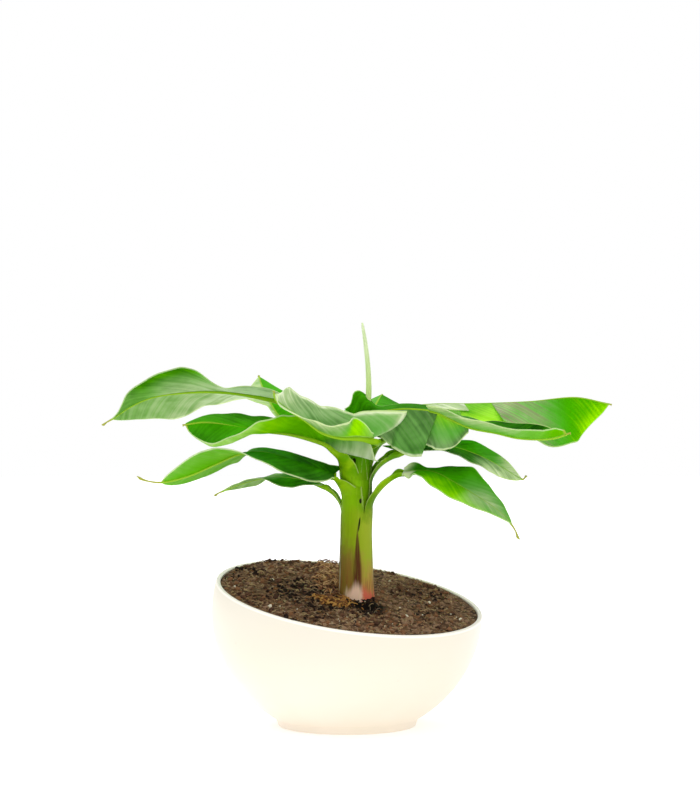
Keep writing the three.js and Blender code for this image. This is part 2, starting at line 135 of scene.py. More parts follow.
# How far down each ring of the foot goes, and its size against the ring before it.
FOOT_RINGS = [
    (FOOT_STEP, 0.994),
    (FOOT_HEIGHT - FOOT_STEP - FOOT_CHAMFER, 0.975),
    (FOOT_CHAMFER, 0.985),
    (0, 1 - FOOT_RING / FOOT_RADIUS),
    (-FOOT_HOLLOW, 1),
    *[(0, 0.6)] * 4,
]


def place(tree, kind, inputs=None, **settings):
    """Adds a shader node with its settings, its inputs fed by values or by other nodes' sockets."""
    made = tree.nodes.new(kind)
    for name, value in settings.items():
        setattr(made, name, value)
    for name, value in (inputs or {}).items():
        if isinstance(value, bpy.types.NodeSocket):
            tree.links.new(value, made.inputs[name])
        else:
            made.inputs[name].default_value = value
    return made


def mixed(tree, factor, below, above, blend="MIX"):
    """The colour output of a mix of two colours, each a socket or a plain colour."""
    made = tree.nodes.new("ShaderNodeMix")
    made.data_type = "RGBA"
    made.blend_type = blend
    for socket, value in ((made.inputs[0], factor), (made.inputs[6], below), (made.inputs[7], above)):
        if isinstance(value, bpy.types.NodeSocket):
            tree.links.new(value, socket)
        else:
            socket.default_value = value
    return made.outputs[2]


def reckoned(tree, operation, first, second=0.0, third=0.0):
    """The output of one sum on values or sockets."""
    made = place(tree, "ShaderNodeMath", {0: first, 1: second, 2: third}, operation=operation)
    return made.outputs[0]


def stepped(tree, value, low, high, start=0.0, end=1.0):
    """Turns a value between low and high smoothly into one between start and end."""
    ranges = {"Value": value, "From Min": low, "From Max": high, "To Min": start, "To Max": end}
    return place(tree, "ShaderNodeMapRange", ranges, interpolation_type="SMOOTHSTEP").outputs[0]


def own_place(tree):
    """The place of each point of a piece, which a pattern reads."""
    return place(tree, "ShaderNodeTexCoord").outputs["Object"]


def parts_of(tree, vector):
    """The three numbers of a vector."""
    return place(tree, "ShaderNodeSeparateXYZ", {0: vector}).outputs


def noisy(tree, vector, scale, detail, roughness=0.5):
    """The output of a noise pattern, finer the greater its scale."""
    inputs = {"Vector": vector, "Scale": scale, "Detail": detail, "Roughness": roughness}
    return place(tree, "ShaderNodeTexNoise", inputs).outputs["Fac"]


def raised(tree, shader, height, strength, distance):
    """Raises a surface by a pattern, and hands back the normal that comes of it."""
    inputs = {"Height": height, "Strength": strength, "Distance": distance}
    normal = place(tree, "ShaderNodeBump", inputs).outputs[0]
    tree.links.new(normal, shader.inputs["Normal"])
    return normal


def rgb(red, green, blue):
    """A colour given as it looks on a screen, 0 to 255, as a shader wants it."""
    parts = [channel / 255 for channel in (red, green, blue)]
    linear = [part / 12.92 if part <= 0.04045 else ((part + 0.055) / 1.055) ** 2.4 for part in parts]
    return (*linear, 1)


def new_finish(name, roughness, gloss):
    """A new material, its node tree and its main shader."""
    material = bpy.data.materials.new(name)
    material.use_nodes = True
    shader = material.node_tree.nodes["Principled BSDF"]
    shader.inputs["Roughness"].default_value = roughness
    shader.inputs["Specular IOR Level"].default_value = gloss
    return material, material.node_tree, shader


def rim_plane(x, y):
    """Height of the slanted rim's plane over a point."""
    return RIM_HEIGHT + RIM_RISE * (x * math.cos(RIM_HIGH_SIDE) + y * math.sin(RIM_HIGH_SIDE))


def bowl_radius(height):
    """Outside radius of the bowl at a height."""
    rise = (height - BOWL_WIDEST) / BOWL_DEPTH
    return BOWL_RADIUS * math.sqrt(1 - rise * rise)


def rim_at(turn):
    """Height at which the bowl's side meets the rim's plane, in a direction round the bowl."""
    height = RIM_HEIGHT
    for _ in range(12):
        radius = bowl_radius(height)
        height = rim_plane(radius * math.cos(turn), radius * math.sin(turn))
    return height


def pick(piece, wanted, kind="verts"):
    """Selects only the vertices, edges or faces for which wanted(element) is true, in edit mode."""
    mesh = bmesh.from_edit_mesh(piece.data)
    for face in mesh.faces:
        face.select = False
    for edge in mesh.edges:
        edge.select = False
    for vertex in mesh.verts:
        vertex.select = False
    for element in getattr(mesh, kind):
        if wanted(element):
            element.select = True
    mesh.select_flush(True)
    bmesh.update_edit_mesh(piece.data)


def face_outwards():
    """Turns all faces of the piece in edit mode outwards, and leaves edit mode."""
    bpy.ops.mesh.select_all(action="SELECT")
    bpy.ops.mesh.normals_make_consistent(inside=False)
    bpy.ops.object.mode_set(mode="OBJECT")


bpy.ops.mesh.primitive_circle_add(vertices=BOWL_SEGMENTS, radius=FOOT_RADIUS, location=(0, 0, FOOT_HEIGHT))
bowl = bpy.context.object
bowl.name = "bowl_shell"
bpy.ops.object.transform_apply(location=True)
bpy.ops.object.mode_set(mode="EDIT")
for _ in range(BOWL_RINGS):
    bpy.ops.mesh.extrude_region_move(TRANSFORM_OT_translate={"value": (0, 0, RING_STEP)})
bpy.ops.object.mode_set(mode="OBJECT")
for vertex in bowl.data.vertices:
    share = round((vertex.co.z - FOOT_HEIGHT) / RING_STEP) / BOWL_RINGS
    turn = math.atan2(vertex.co.y, vertex.co.x)
    height = FOOT_HEIGHT + share * (rim_at(turn) - FOOT_HEIGHT)
    radius = bowl_radius(height)
    vertex.co = (radius * math.cos(turn), radius * math.sin(turn), height)
bpy.ops.object.mode_set(mode="EDIT")
pick(bowl, lambda vertex: vertex.co.z < FOOT_HEIGHT + 0.1 * MM)
for drop, narrowing in FOOT_RINGS:
    bpy.ops.mesh.extrude_region_move(TRANSFORM_OT_translate={"value": (0, 0, -drop)})
    bpy.ops.transform.resize(value=(narrowing, narrowing, 1), center_override=(0, 0, 0))
bpy.ops.mesh.merge(type="CENTER")
face_outwards()


def finish_with(piece, kind, **settings):
    """Adds a modifier to a piece and applies it."""
    modifier = piece.modifiers.new(kind.title(), kind)
    for name, value in settings.items():
        setattr(modifier, name, value)
    bpy.context.view_layer.objects.active = piece
    bpy.ops.object.modifier_apply(modifier=modifier.name)


finish_with(bowl, "SOLIDIFY", thickness=BOWL_WALL, offset=-1, use_even_offset=True)
bpy.ops.object.mode_set(mode="EDIT")


def on_rim(face):
    """Whether a face is part of the cut edge: it joins the outer and the inner wall."""
    centre = face.calc_center_median()
    outward = abs(face.normal.z) > 0.75 and face.normal.z > 0
    return outward and abs(centre.z - rim_plane(centre.x, centre.y)) < 4 * MM


pick(bowl, on_rim, "faces")
bpy.ops.mesh.region_to_loop()
bpy.ops.mesh.bevel(offset=RIM_ROUND, segments=4, affect="EDGES")
bpy.ops.object.mode_set(mode="OBJECT")
bpy.ops.object.shade_smooth_by_angle(angle=math.radians(50))

plastic, tree, shader = new_finish("bowl plastic", 0.34, 0.4)
where = own_place(tree)
height = parts_of(tree, where)[2]
cloud = noisy(tree, where, 9, 4)
# Paler, pinker cream low down and darker up high: the darkening up high is painted shade against the strong
# light from above.
tint = mixed(tree, stepped(tree, height, 0.0, 0.11), rgb(252, 240, 224), rgb(232, 225, 210))
tint = mixed(tree, stepped(tree, cloud, 0.35, 0.75, 0, 0.35), tint, rgb(236, 229, 208))
# The lip along the rim is painted whiter: painted light against the shade that the leaves and soil cast on
# it.
upright = [-RIM_RISE * math.cos(RIM_HIGH_SIDE), -RIM_RISE * math.sin(RIM_HIGH_SIDE), 1]
level = place(tree, "ShaderNodeVectorMath", {0: where, 1: upright}, operation="DOT_PRODUCT").outputs["Value"]
lip_painted_light = stepped(tree, level, RIM_HEIGHT - 3.5 * MM, RIM_HEIGHT - 1.5 * MM)
tint = mixed(tree, lip_painted_light, tint, rgb(255, 248, 238))
scuff = noisy(tree, where, 55, 6, 0.7)
tint = mixed(tree, stepped(tree, scuff, 0.68, 0.76, 0, 0.2), tint, rgb(196, 184, 160))
tree.links.new(tint, shader.inputs["Base Color"])
tree.links.new(stepped(tree, cloud, 0.3, 0.7, 0.3, 0.42), shader.inputs["Roughness"])
raised(tree, shader, noisy(tree, where, 260, 2), 0.05, 0.3 * MM)
bowl.data.materials.append(plastic)
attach(bowl, "root")
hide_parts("bowl")

# ---- the potting soil ----
# Dark peat crumbs, heaped a little towards the stem, with lighter bark, white perlite, rusty root
# fibres and a lump of coir. The loose bits of each kind lie scattered over a crumbly bed.

SOIL_DROP = 3.6 * MM  # soil below the rim's plane along the wall
SOIL_CROWN = 50 * MM  # level with the rim's plane inside this
SOIL_GAP = 0.4 * MM  # between the soil and the wall
SOIL_CELLS = 190
SOIL_REACH_INSIDE = 137 * MM  # the loose bits lie inside this
SOIL_SKIRT = 25 * MM
SOIL_EDGE = 146 * MM  # just past the farthest that the soil goes out
HOLLOW_X = 19 * MM  # place of a hollow before the stem
HOLLOW_Y = -38 * MM
HOLLOW_REACH = 18 * MM
HOLLOW_DEPTH = 12 * MM
STEM_FOOT = (10 * MM, 0, 17 * MM)  # place and radius
dice = np.random.default_rng(11)

turns = np.radians(np.arange(0, 361, 3))
reaches = [bowl_radius(rim_at(turn) - SOIL_DROP) - BOWL_WALL - SOIL_GAP for turn in turns]


def soil_reach(turn):
    """How far out the soil goes in a direction round the bowl."""
    return np.interp(np.mod(turn, 2 * np.pi), turns, reaches)


def soil_height(x, y):
    """Height of the soil's surface over a point."""
    out = math.hypot(x, y)
    drop = np.interp(out, [SOIL_CROWN, 98 * MM, SOIL_EDGE], [0, 1 * MM, SOIL_DROP])
    banked = np.interp(out, [SOIL_CROWN, 95 * MM, 132 * MM, SOIL_EDGE], [0, -0.5 * MM, 0.4 * MM, 2.2 * MM])
    drop += (banked - drop) * np.interp(y, [10 * MM, 90 * MM], [0, 1])
    spot = Vector((x * 38, y * 38, 1.7))
    lumps = 2.6 * MM * noise.noise(spot) + 1.7 * MM * noise.noise(spot * 3.1)
    lumps += 1.1 * MM * noise.noise(spot * 8.3)
    dip = HOLLOW_DEPTH * math.exp(-((x - HOLLOW_X) ** 2 + (y - HOLLOW_Y) ** 2) / (HOLLOW_REACH / 1.6) ** 2)
    calm = 1 if out < 120 * MM else max(0.25, 1 - (out - 120 * MM) / (25 * MM))
    return rim_plane(x, y) - drop + lumps * calm - dip


# The bed: a square grid drawn out round to the bowl's wall, with a skirt under its edge.
bpy.ops.mesh.primitive_grid_add(x_subdivisions=SOIL_CELLS, y_subdivisions=SOIL_CELLS, size=2)
soil = bpy.context.object
soil.name = "soil_bed"
for vertex in soil.data.vertices:
    across, forth = vertex.co.x, vertex.co.y
    out = max(abs(across), abs(forth))
    turn = 0
    if out > 0 and abs(forth) > abs(across):
        lean = math.pi / 4 * across / out
        turn = math.atan2(math.cos(lean) * math.copysign(1, forth), math.sin(lean))
    elif out > 0:
        lean = math.pi / 4 * forth / out
        turn = math.atan2(math.sin(lean), math.cos(lean) * math.copysign(1, across))
    out *= soil_reach(turn)
    spot = (out * math.cos(turn), out * math.sin(turn))
    vertex.co = (*spot, soil_height(*spot))
bpy.ops.object.mode_set(mode="EDIT")
pick(soil, lambda edge: edge.is_boundary, "edges")
bpy.ops.mesh.extrude_region_move(TRANSFORM_OT_translate={"value": (0, 0, -SOIL_SKIRT)})
bpy.ops.transform.resize(value=(0.93, 0.93, 1), center_override=(0, 0, 0))
bpy.ops.mesh.edge_face_add()
face_outwards()
bpy.ops.object.shade_smooth()

peat, tree, shader = new_finish("peat", 0.95, 0.15)
where = own_place(tree)
grain = place(tree, "ShaderNodeTexVoronoi", {"Vector": where, "Scale": 330}).outputs["Color"]
bits = parts_of(tree, grain)[0]
cloud = noisy(tree, where, 60, 5, 0.7)
tint = mixed(tree, stepped(tree, cloud, 0.35, 0.65), rgb(54, 36, 26), rgb(116, 86, 62))
tint = mixed(tree, stepped(tree, bits, 0.55, 0.8), tint, rgb(138, 106, 78))
tint = mixed(tree, stepped(tree, bits, 0.93, 0.96), tint, rgb(158, 134, 106))
# Round the hollow before the stem the peat is painted nearly black: painted shade in the recess.
hollow = (HOLLOW_X, HOLLOW_Y, 130 * MM)
away = place(tree, "ShaderNodeVectorMath", {0: where, 1: hollow}, operation="DISTANCE").outputs["Value"]
tint = mixed(tree, stepped(tree, away, 0.03, 0.018), tint, rgb(20, 12, 8))
tree.links.new(tint, shader.inputs["Base Color"])
raised(tree, shader, noisy(tree, where, 420, 6, 0.75), 0.9, 1.2 * MM)
soil.data.materials.append(peat)
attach(soil, "root")
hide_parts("soil")


def lightness(x, y):
    """0 where the loose bits are dark, 1 where light: lighter to the right and in patches, painted darker
    round the hollow as shade.
    """
    hollow_shade = math.exp(-((x - HOLLOW_X) / (21 * MM)) ** 2 - ((y - HOLLOW_Y) / (30 * MM)) ** 2)
    patches = 1.1 * noise.noise((x * 22, y * 22, 4.4))
    spots = 0.3 * noise.noise((x * 90, y * 90, 2.2))
    return 0.58 + 2.2 * x + patches + spots - 1.6 * hollow_shade


def plain(name, colour, roughness=0.9):
    """A dull material of one even colour."""
    material, _, shader = new_finish(name, roughness, 0.2)
    shader.inputs["Base Color"].default_value = colour
    return material


def copies(name, count):
    """Makes the newest mesh a piece of many copies of itself.

    Hands back the piece, the corners of one copy and how many sides a copy has.
    """
    piece = bpy.context.object
    piece.name = name
    corners, sides = len(piece.data.vertices), len(piece.data.polygons)
    finish_with(piece, "ARRAY", count=count, use_relative_offset=False)
    shape = np.empty(count * corners * 3)
    piece.data.vertices.foreach_get("co", shape)
    return piece, shape.reshape(count, corners, 3)[0], sides


def deal_out(piece, placed, sides, materials, kinds):
    """Puts each copy in a piece in its place, and gives it its kind of material."""
    piece.data.vertices.foreach_set("co", placed.ravel())
    for material in materials:
        piece.data.materials.append(material)
    piece.data.polygons.foreach_set("material_index", np.repeat(kinds, sides))
    piece.data.update()


def scattered(name, count, sizes, flat, lift, materials, spots=None):
    """Lumps of one kind strewn over the soil, joined into one piece and coloured lump by lump.

    sizes: least and greatest width. flat: least and greatest height, of a lump's width. lift: how far its
    middle lies over the soil, of half its height. spots: where the lumps lie, if not anywhere.
    """
    bpy.ops.mesh.primitive_ico_sphere_add(subdivisions=2, radius=1)
    lumps, shape, sides = copies(name, count)
    placed = np.empty((count, *shape.shape))
    for each in range(count):
        if spots is None:
            out = SOIL_REACH_INSIDE * math.sqrt(dice.random())
            turn = dice.uniform(0, 2 * math.pi)
            x, y = out * math.cos(turn), out * math.sin(turn)
            while math.hypot(x - STEM_FOOT[0], y - STEM_FOOT[1]) < STEM_FOOT[2]:
                x, y = x + 6 * MM, y - 9 * MM
        else:
            x, y = spots[each]
        size = sizes[0] * (sizes[1] / sizes[0]) ** (dice.random() ** 1.6)
        spread = np.array([1, dice.uniform(0.4, 1), dice.uniform(*flat)]) * size / 2
        knobs = 1 + dice.normal(0, 0.2, (len(shape), 1))
        spin = Matrix.Rotation(dice.uniform(0, 2 * math.pi), 3, "Z")
        tip = Matrix.Rotation(dice.normal(0, 0.45), 3, "X") @ Matrix.Rotation(dice.normal(0, 0.45), 3, "Y")
        turned = (shape * knobs * spread) @ np.array(spin @ tip).T
        placed[each] = turned + (x, y, soil_height(x, y) + spread[2] * lift)
    light = [lightness(x, y) for x, y, _ in placed.mean(axis=1)] + dice.uniform(-0.35, 0.35, count)
    kinds = np.clip(light * len(materials), 0, len(materials) - 1).astype(int)
    deal_out(lumps, placed, sides, materials, kinds)
    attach(lumps, "root")
    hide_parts("soil")


browns = [
    plain("black crumb", rgb(38, 24, 16)),
    plain("dark crumb", rgb(70, 46, 32)),
    plain("brown crumb", rgb(102, 70, 50)),
    plain("red-brown crumb", rgb(134, 94, 64)),
    plain("grey-brown crumb", rgb(146, 116, 90)),
]
scattered("peat_crumbs", 1700, (2 * MM, 7 * MM), (0.4, 0.9), 0.3, browns)
tans = [
    plain("ochre bark", rgb(126, 86, 50)),
    plain("tan bark", rgb(146, 112, 78)),
    plain("pale bark", rgb(172, 142, 104)),
]
scattered("bark_crumbs", 700, (1.4 * MM, 5 * MM), (0.2, 0.6), 0.5, tans)

# Perlite: brittle white grains, most of them small, and a few big ones.
perlite = [plain("dusty perlite", rgb(196, 180, 152), 0.85), plain("perlite", rgb(236, 228, 204), 0.8)]
scattered("perlite", 45, (1.2 * MM, 3.2 * MM), (0.6, 1), 0.6, perlite)
big_grains = [(64, -62), (-82, -88), (124, -36), (-84, 20), (92, 6)]
big_grains = [(x * MM, y * MM) for x, y in big_grains]
scattered("big_perlite", len(big_grains), (3.6 * MM, 4.8 * MM), (0.7, 1), 0.7, perlite[1:], big_grains)

STRIP_THICKNESS = 0.5 * MM


def bent_strips(name, count, middle, spread, length, width, lift, materials, over=0):
    """Thin bent strips lying about a place on the soil or over it, joined into one piece.

    middle, spread: where they lie and how far they stray. lift: how high a strip arches. over: how far over
    the soil they start.
    """
    bpy.ops.mesh.primitive_grid_add(x_subdivisions=10, y_subdivisions=2, size=2)
    strips, shape, sides = copies(name, count)
    placed = np.empty((count, *shape.shape))
    for each in range(count):
        x, y = middle[0] + dice.normal(0, spread[0]), middle[1] + dice.normal(0, spread[1])
        inside = min(1, (SOIL_REACH_INSIDE - length / 2) / max(math.hypot(x, y), MM))
        x, y = x * inside, y * inside
        run = length * dice.uniform(0.5, 1.2) / 2
        wide = width * dice.uniform(0.5, 1.3) / 2 * (1 - 0.7 * np.abs(shape[:, 0]) ** 3)
        bow = dice.normal(0, 0.22)
        turn = dice.uniform(0, 2 * math.pi)
        down, sway = shape[:, 0] * run, bow * run * shape[:, 0] ** 2 + shape[:, 1] * wide
        xs = x + down * math.cos(turn) - sway * math.sin(turn)
        ys = y + down * math.sin(turn) + sway * math.cos(turn)
        arch = lift * dice.uniform(0.2, 1) * (1 - shape[:, 0] ** 2) + 0.6 * MM
        zs = [soil_height(a, b) + over for a, b in zip(xs, ys)] + arch
        placed[each] = np.stack([xs, ys, zs], axis=1)
    deal_out(strips, placed, sides, materials, dice.integers(0, len(materials), count))
    finish_with(strips, "SOLIDIFY", thickness=STRIP_THICKNESS, offset=0)
    bpy.ops.object.shade_smooth_by_angle(angle=math.radians(50))
    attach(strips, "root")
    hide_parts("soil")


# Root fibres: a rusty tuft before the stem, and single strands of straw and coir all over.
rusty = [
    plain("rusty fibre", rgb(156, 104, 50)),
    plain("dark fibre", rgb(102, 64, 34)),
    plain("bright fibre", rgb(184, 134, 70)),
]
bent_strips("root_tuft", 170, (-13 * MM, -40 * MM), (10 * MM, 10 * MM), 15 * MM, 2.0 * MM, 3 * MM, rusty)
straw = [
    plain("straw", rgb(176, 150, 108)),
    plain("grey straw", rgb(140, 122, 98)),
    plain("brown straw", rgb(112, 78, 50)),
]
bent_strips("straw", 520, (0, 0), (85 * MM, 85 * MM), 7 * MM, 0.8 * MM, 1.5 * MM, straw)

# A lump of pressed coir left over from the plant's first pot, lying between the stem and the far wall.
COIR_PLACE = (-21 * MM, 72 * MM)
COIR_SIZE = (11 * MM, 46 * MM, 5.5 * MM)
bpy.ops.mesh.primitive_cube_add(size=2)
coir = bpy.context.object
coir.name = "coir_lump"
bpy.ops.object.mode_set(mode="EDIT")
bpy.ops.mesh.subdivide(number_cuts=18)
bpy.ops.object.mode_set(mode="OBJECT")
for vertex in coir.data.vertices:
    spot = vertex.co.copy()
    rounded = spot.normalized() * spot.length ** 0.75
    rough = 1 + 0.3 * noise.noise(spot * 2.3) + 0.3 * noise.noise(spot * 7)
    x = COIR_PLACE[0] + COIR_SIZE[0] * rounded.x * rough
    y = COIR_PLACE[1] + COIR_SIZE[1] * rounded.y * rough
    vertex.co = (x, y, rim_plane(x, y) + COIR_SIZE[2] * (rounded.z * rough - 0.2))
bpy.ops.object.shade_smooth()
coir_fibre, tree, shader = new_finish("coir", 0.95, 0.1)
where = own_place(tree)
fuzz = noisy(tree, where, 240, 6, 0.75)
cloud = noisy(tree, where, 70, 3)
tint = mixed(tree, stepped(tree, fuzz, 0.4, 0.62), rgb(118, 80, 50), rgb(184, 148, 108))
tint = mixed(tree, stepped(tree, cloud, 0.5, 0.62, 0, 0.7), tint, rgb(96, 60, 38))
tree.links.new(tint, shader.inputs["Base Color"])
raised(tree, shader, fuzz, 0.9, 1.2 * MM)
coir.data.materials.append(coir_fibre)
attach(coir, "root")
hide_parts("soil")
ends = [
    plain("coir end", rgb(198, 156, 112)),
    plain("brown coir end", rgb(160, 112, 70)),
    plain("dark coir end", rgb(104, 66, 42)),
]
bent_strips(
    "coir_ends", 260, (-22 * MM, 62 * MM), (7 * MM, 34 * MM), 12 * MM, 1.3 * MM, 3 * MM, ends, over=2 * MM
)

# ---- the stem ----
# A false stem: the leaves' own sheaths, rolled tightly round each other into a thick juicy column.
# This is its inner core; the outer sheaths come with their leaves. Its foot is bulbous and pale pink.

STEM_AXIS = [[90, 9.5], [150, 10.2], [215, 10.4], [270, 12], [331, 13]]  # height and place across, mm
STEM_SIZE = [[90, 17], [138, 18.6], [150, 17], [210, 15], [247, 15.4], [283, 13.6], [307, 11.2], [331, 5.5]]
# Painted shadow in the slits between sheaths on the front, as shade in a gap: place across and up, half
# width, half height and lean.
SLIT_SHADOWS = [
    (14.9 * MM, 247.9 * MM, 1.4 * MM, 2.8 * MM, 0),
    (13.3 * MM, 221.8 * MM, 1.0 * MM, 8 * MM, 0.14),
    (8 * MM, 292.3 * MM, 1.8 * MM, 2.9 * MM, 0),
]
STEM_BOTTOM = 90  # mm, down in the soil
STEM_LENGTH = 241  # mm
STEM_SIDES = 96
STEM_RINGS = 120


def stem_axis(height):
    """Middle of the stem at a height, all in mm."""
    return np.interp(height, *zip(*STEM_AXIS))


def stem_size(height):
    """Radius of the stem's core at a height, all in mm."""
    return np.interp(height, *zip(*STEM_SIZE))


def sheath_colours():
    """Makes the node group with the colour of the sheaths: green above, brown and purple below."""
    group = bpy.data.node_groups.new("sheath colours", "ShaderNodeTree")
    group.interface.new_socket("Place", in_out="INPUT", socket_type="NodeSocketVector")
    group.interface.new_socket("Age", in_out="INPUT", socket_type="NodeSocketFloat")
    group.interface.new_socket("Colour", in_out="OUTPUT", socket_type="NodeSocketColor")
    group.interface.new_socket("Streaks", in_out="OUTPUT", socket_type="NodeSocketFloat")
    given = group.nodes.new("NodeGroupInput").outputs
    handed = group.nodes.new("NodeGroupOutput").inputs
    axes = parts_of(group, given["Place"])
    drawn = place(group, "ShaderNodeMapping", {"Vector": given["Place"], "Scale": (1, 1, 0.045)}).outputs[0]
    fine = noisy(group, drawn, 620, 3)
    broad = noisy(group, drawn, 170, 3)
    blotch = noisy(group, given["Place"], 48, 4, 0.6)
    right = stepped(group, axes[0], 0.004, 0.024)
    height = reckoned(group, "MULTIPLY_ADD", blotch, 0.05, reckoned(group, "ADD", axes[2], -0.025))
    lit = mixed(group, right, rgb(138, 190, 2), rgb(98, 146, 0))
    olive = mixed(group, right, rgb(142, 172, 8), rgb(172, 190, 48))
    tint = mixed(group, stepped(group, height, 0.212, 0.25), olive, lit)
    tint = mixed(group, stepped(group, height, 0.262, 0.30), tint, rgb(90, 158, 0))
    brown = mixed(group, stepped(group, broad, 0.35, 0.62), rgb(128, 84, 44), rgb(150, 118, 48))
    brown = mixed(group, right, brown, rgb(206, 158, 84))
    low = stepped(group, reckoned(group, "MULTIPLY_ADD", right, 0.024, height), 0.212, 0.178)
    browned = reckoned(group, "MULTIPLY", low, stepped(group, broad, 0.3, 0.6, 0.55, 1))
    tint = mixed(group, browned, tint, brown)
    rosy = reckoned(group, "MULTIPLY", stepped(group, height, 0.182, 0.15), stepped(group, fine, 0.45, 0.6))
    tint = mixed(group, reckoned(group, "MULTIPLY", rosy, 0.6), tint, rgb(150, 72, 52))
    middle = reckoned(group, "ABSOLUTE", reckoned(group, "ADD", axes[0], -0.0115))
    width = stepped(group, axes[2], 0.225, 0.165, 0.0005, 0.005)
    streak = stepped(group, reckoned(group, "DIVIDE", middle, width), 1.3, 0.5)
    streak = reckoned(group, "MULTIPLY", streak, stepped(group, axes[1], 0.0, -0.008))
    streak = reckoned(group, "MULTIPLY", streak, stepped(group, axes[2], 0.226, 0.205))
    tint = mixed(group, reckoned(group, "MULTIPLY", streak, 0.9), tint, rgb(88, 32, 24))
    # Each slit is painted near black as the shadow in the gap between two sheaths.
    for across, up, half, rise, lean in SLIT_SHADOWS:
        drift = reckoned(group, "MULTIPLY_ADD", reckoned(group, "SUBTRACT", axes[2], up), -lean, axes[0])
        aside = reckoned(group, "DIVIDE", reckoned(group, "SUBTRACT", drift, across), half)
        above = reckoned(group, "DIVIDE", reckoned(group, "SUBTRACT", axes[2], up), rise)
        apart = reckoned(group, "MULTIPLY_ADD", aside, aside, reckoned(group, "MULTIPLY", above, above))
        in_front = stepped(group, axes[1], 0, -0.006)
        slit_shadow = reckoned(group, "MULTIPLY", stepped(group, apart, 1.5, 0.6), in_front)
        tint = mixed(group, slit_shadow, tint, rgb(22, 30, 4))
    beside = reckoned(group, "ABSOLUTE", reckoned(group, "ADD", axes[0], -0.0135))
    height_there = reckoned(group, "MULTIPLY_ADD", beside, 0.35, axes[2])
    foot = stepped(group, reckoned(group, "MULTIPLY_ADD", broad, 0.03, height_there), 0.175, 0.162)
    side = stepped(group, reckoned(group, "MULTIPLY_ADD", fine, 0.008, axes[0]), -0.001, 0.005)
    foot = reckoned(group, "MULTIPLY", foot, side)
    reddish = stepped(group, reckoned(group, "MULTIPLY_ADD", blotch, 0.012, axes[0]), 0.0205, 0.0245)
    tint = mixed(group, foot, tint, mixed(group, reddish, rgb(244, 208, 182), rgb(224, 112, 88)))
    tint = mixed(group, stepped(group, fine, 0.5, 0.75, 0, 0.2), tint, rgb(176, 200, 60))
    tint = mixed(group, stepped(group, broad, 0.56, 0.75, 0, 0.4), tint, rgb(66, 92, 12))
    dry = reckoned(group, "MULTIPLY", given["Age"], stepped(group, blotch, 0.35, 0.6))
    tint = mixed(group, dry, tint, rgb(196, 186, 160))
    group.links.new(tint, handed["Colour"])
    group.links.new(reckoned(group, "ADD", fine, reckoned(group, "MULTIPLY", broad, 2)), handed["Streaks"])
    return group


sheath_group = sheath_colours()


def grouped(tree, group, inputs):
    """Adds a shader node group with its inputs, and hands back its outputs."""
    made = tree.nodes.new("ShaderNodeGroup")
    made.node_tree = group
    for name, value in inputs.items():
        if isinstance(value, bpy.types.NodeSocket):
            tree.links.new(value, made.inputs[name])
        else:
            made.inputs[name].default_value = value
    return made.outputs


bpy.ops.mesh.primitive_circle_add(vertices=STEM_SIDES, radius=10 * MM)
stem = bpy.context.object
stem.name = "stem_core"
bpy.ops.object.mode_set(mode="EDIT")
for _ in range(STEM_RINGS):
    bpy.ops.mesh.extrude_region_move(TRANSFORM_OT_translate={"value": (0, 0, RING_STEP)})
bpy.ops.mesh.edge_face_add()
pick(stem, lambda vertex: vertex.co.z < 0.5 * RING_STEP)
bpy.ops.mesh.edge_face_add()
face_outwards()
for vertex in stem.data.vertices:
    height = STEM_BOTTOM + STEM_LENGTH * vertex.co.z / (STEM_RINGS * RING_STEP)
    turn = math.atan2(vertex.co.y, vertex.co.x)
    dents = 0.02 * noise.noise((math.cos(turn) * 2, math.sin(turn) * 2, height / 30))
    out = stem_size(height) * (1 + 0.012 * math.sin(7 * turn + height * 0.02) + dents)
    vertex.co = Vector((stem_axis(height) + out * math.cos(turn), out * math.sin(turn), height)) * MM
bpy.ops.object.shade_smooth_by_angle(angle=math.radians(60))

core_skin, tree, shader = new_finish("stem skin", 0.45, 0.06)
where = own_place(tree)
sheathed = grouped(tree, sheath_group, {"Place": where, "Age": 0.0})
tree.links.new(sheathed["Colour"], shader.inputs["Base Color"])
raised(tree, shader, sheathed["Streaks"], 0.35, 0.4 * MM)
stem.data.materials.append(core_skin)
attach(stem, "root")
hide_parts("stem")

# ---- the leaf blades ----
# Each blade is two halves of thin living leaf, one on each side of the midrib, smooth above and paler
# and duller below. Side veins run out from the midrib and on towards the tip, and a half may be torn
# along them. Each half bends, curls and waves in its own way along its length.

BLADE_THICKNESS = 0.9 * MM
CELL = 1.6 * MM  # length of a cell of the blade along the midrib
CELLS_ACROSS = 16
VEIN_LEAN = 1.1  # how far a side vein runs on towards the tip for each length that it runs out
VEIN_PITCH = 0.9  # radians of the side veins' wave for each mm along the midrib
VEIN_DRIFT = 0.21  # the same for a slow wave by which the veins come closer and part
VEIN_SWAY = 1.5  # radians that the slow wave shifts them by
PLEAT = 0.12 * MM  # how far the blade swells between side veins
WAVE_SWING = 1.2  # degrees that the margin waves up and down
WAVE_COUNT = 5  # waves along the blade
WAVE_START = 0.1  # share of a wave that the blade's foot starts with
RIB_HALF_WIDTH = 1.6  # mm, of the pale line over the midrib
LEAF_GLOSS = 0.003
BASE_ROUNDNESS = 0.6
TIP_ROUNDNESS = 0.85
FULL = [[0, 1]]
NONE = [[0, 0]]
LEAST = [[0, 3], [0.1, 2], [0.9, 0.6], [1, 0.3]]
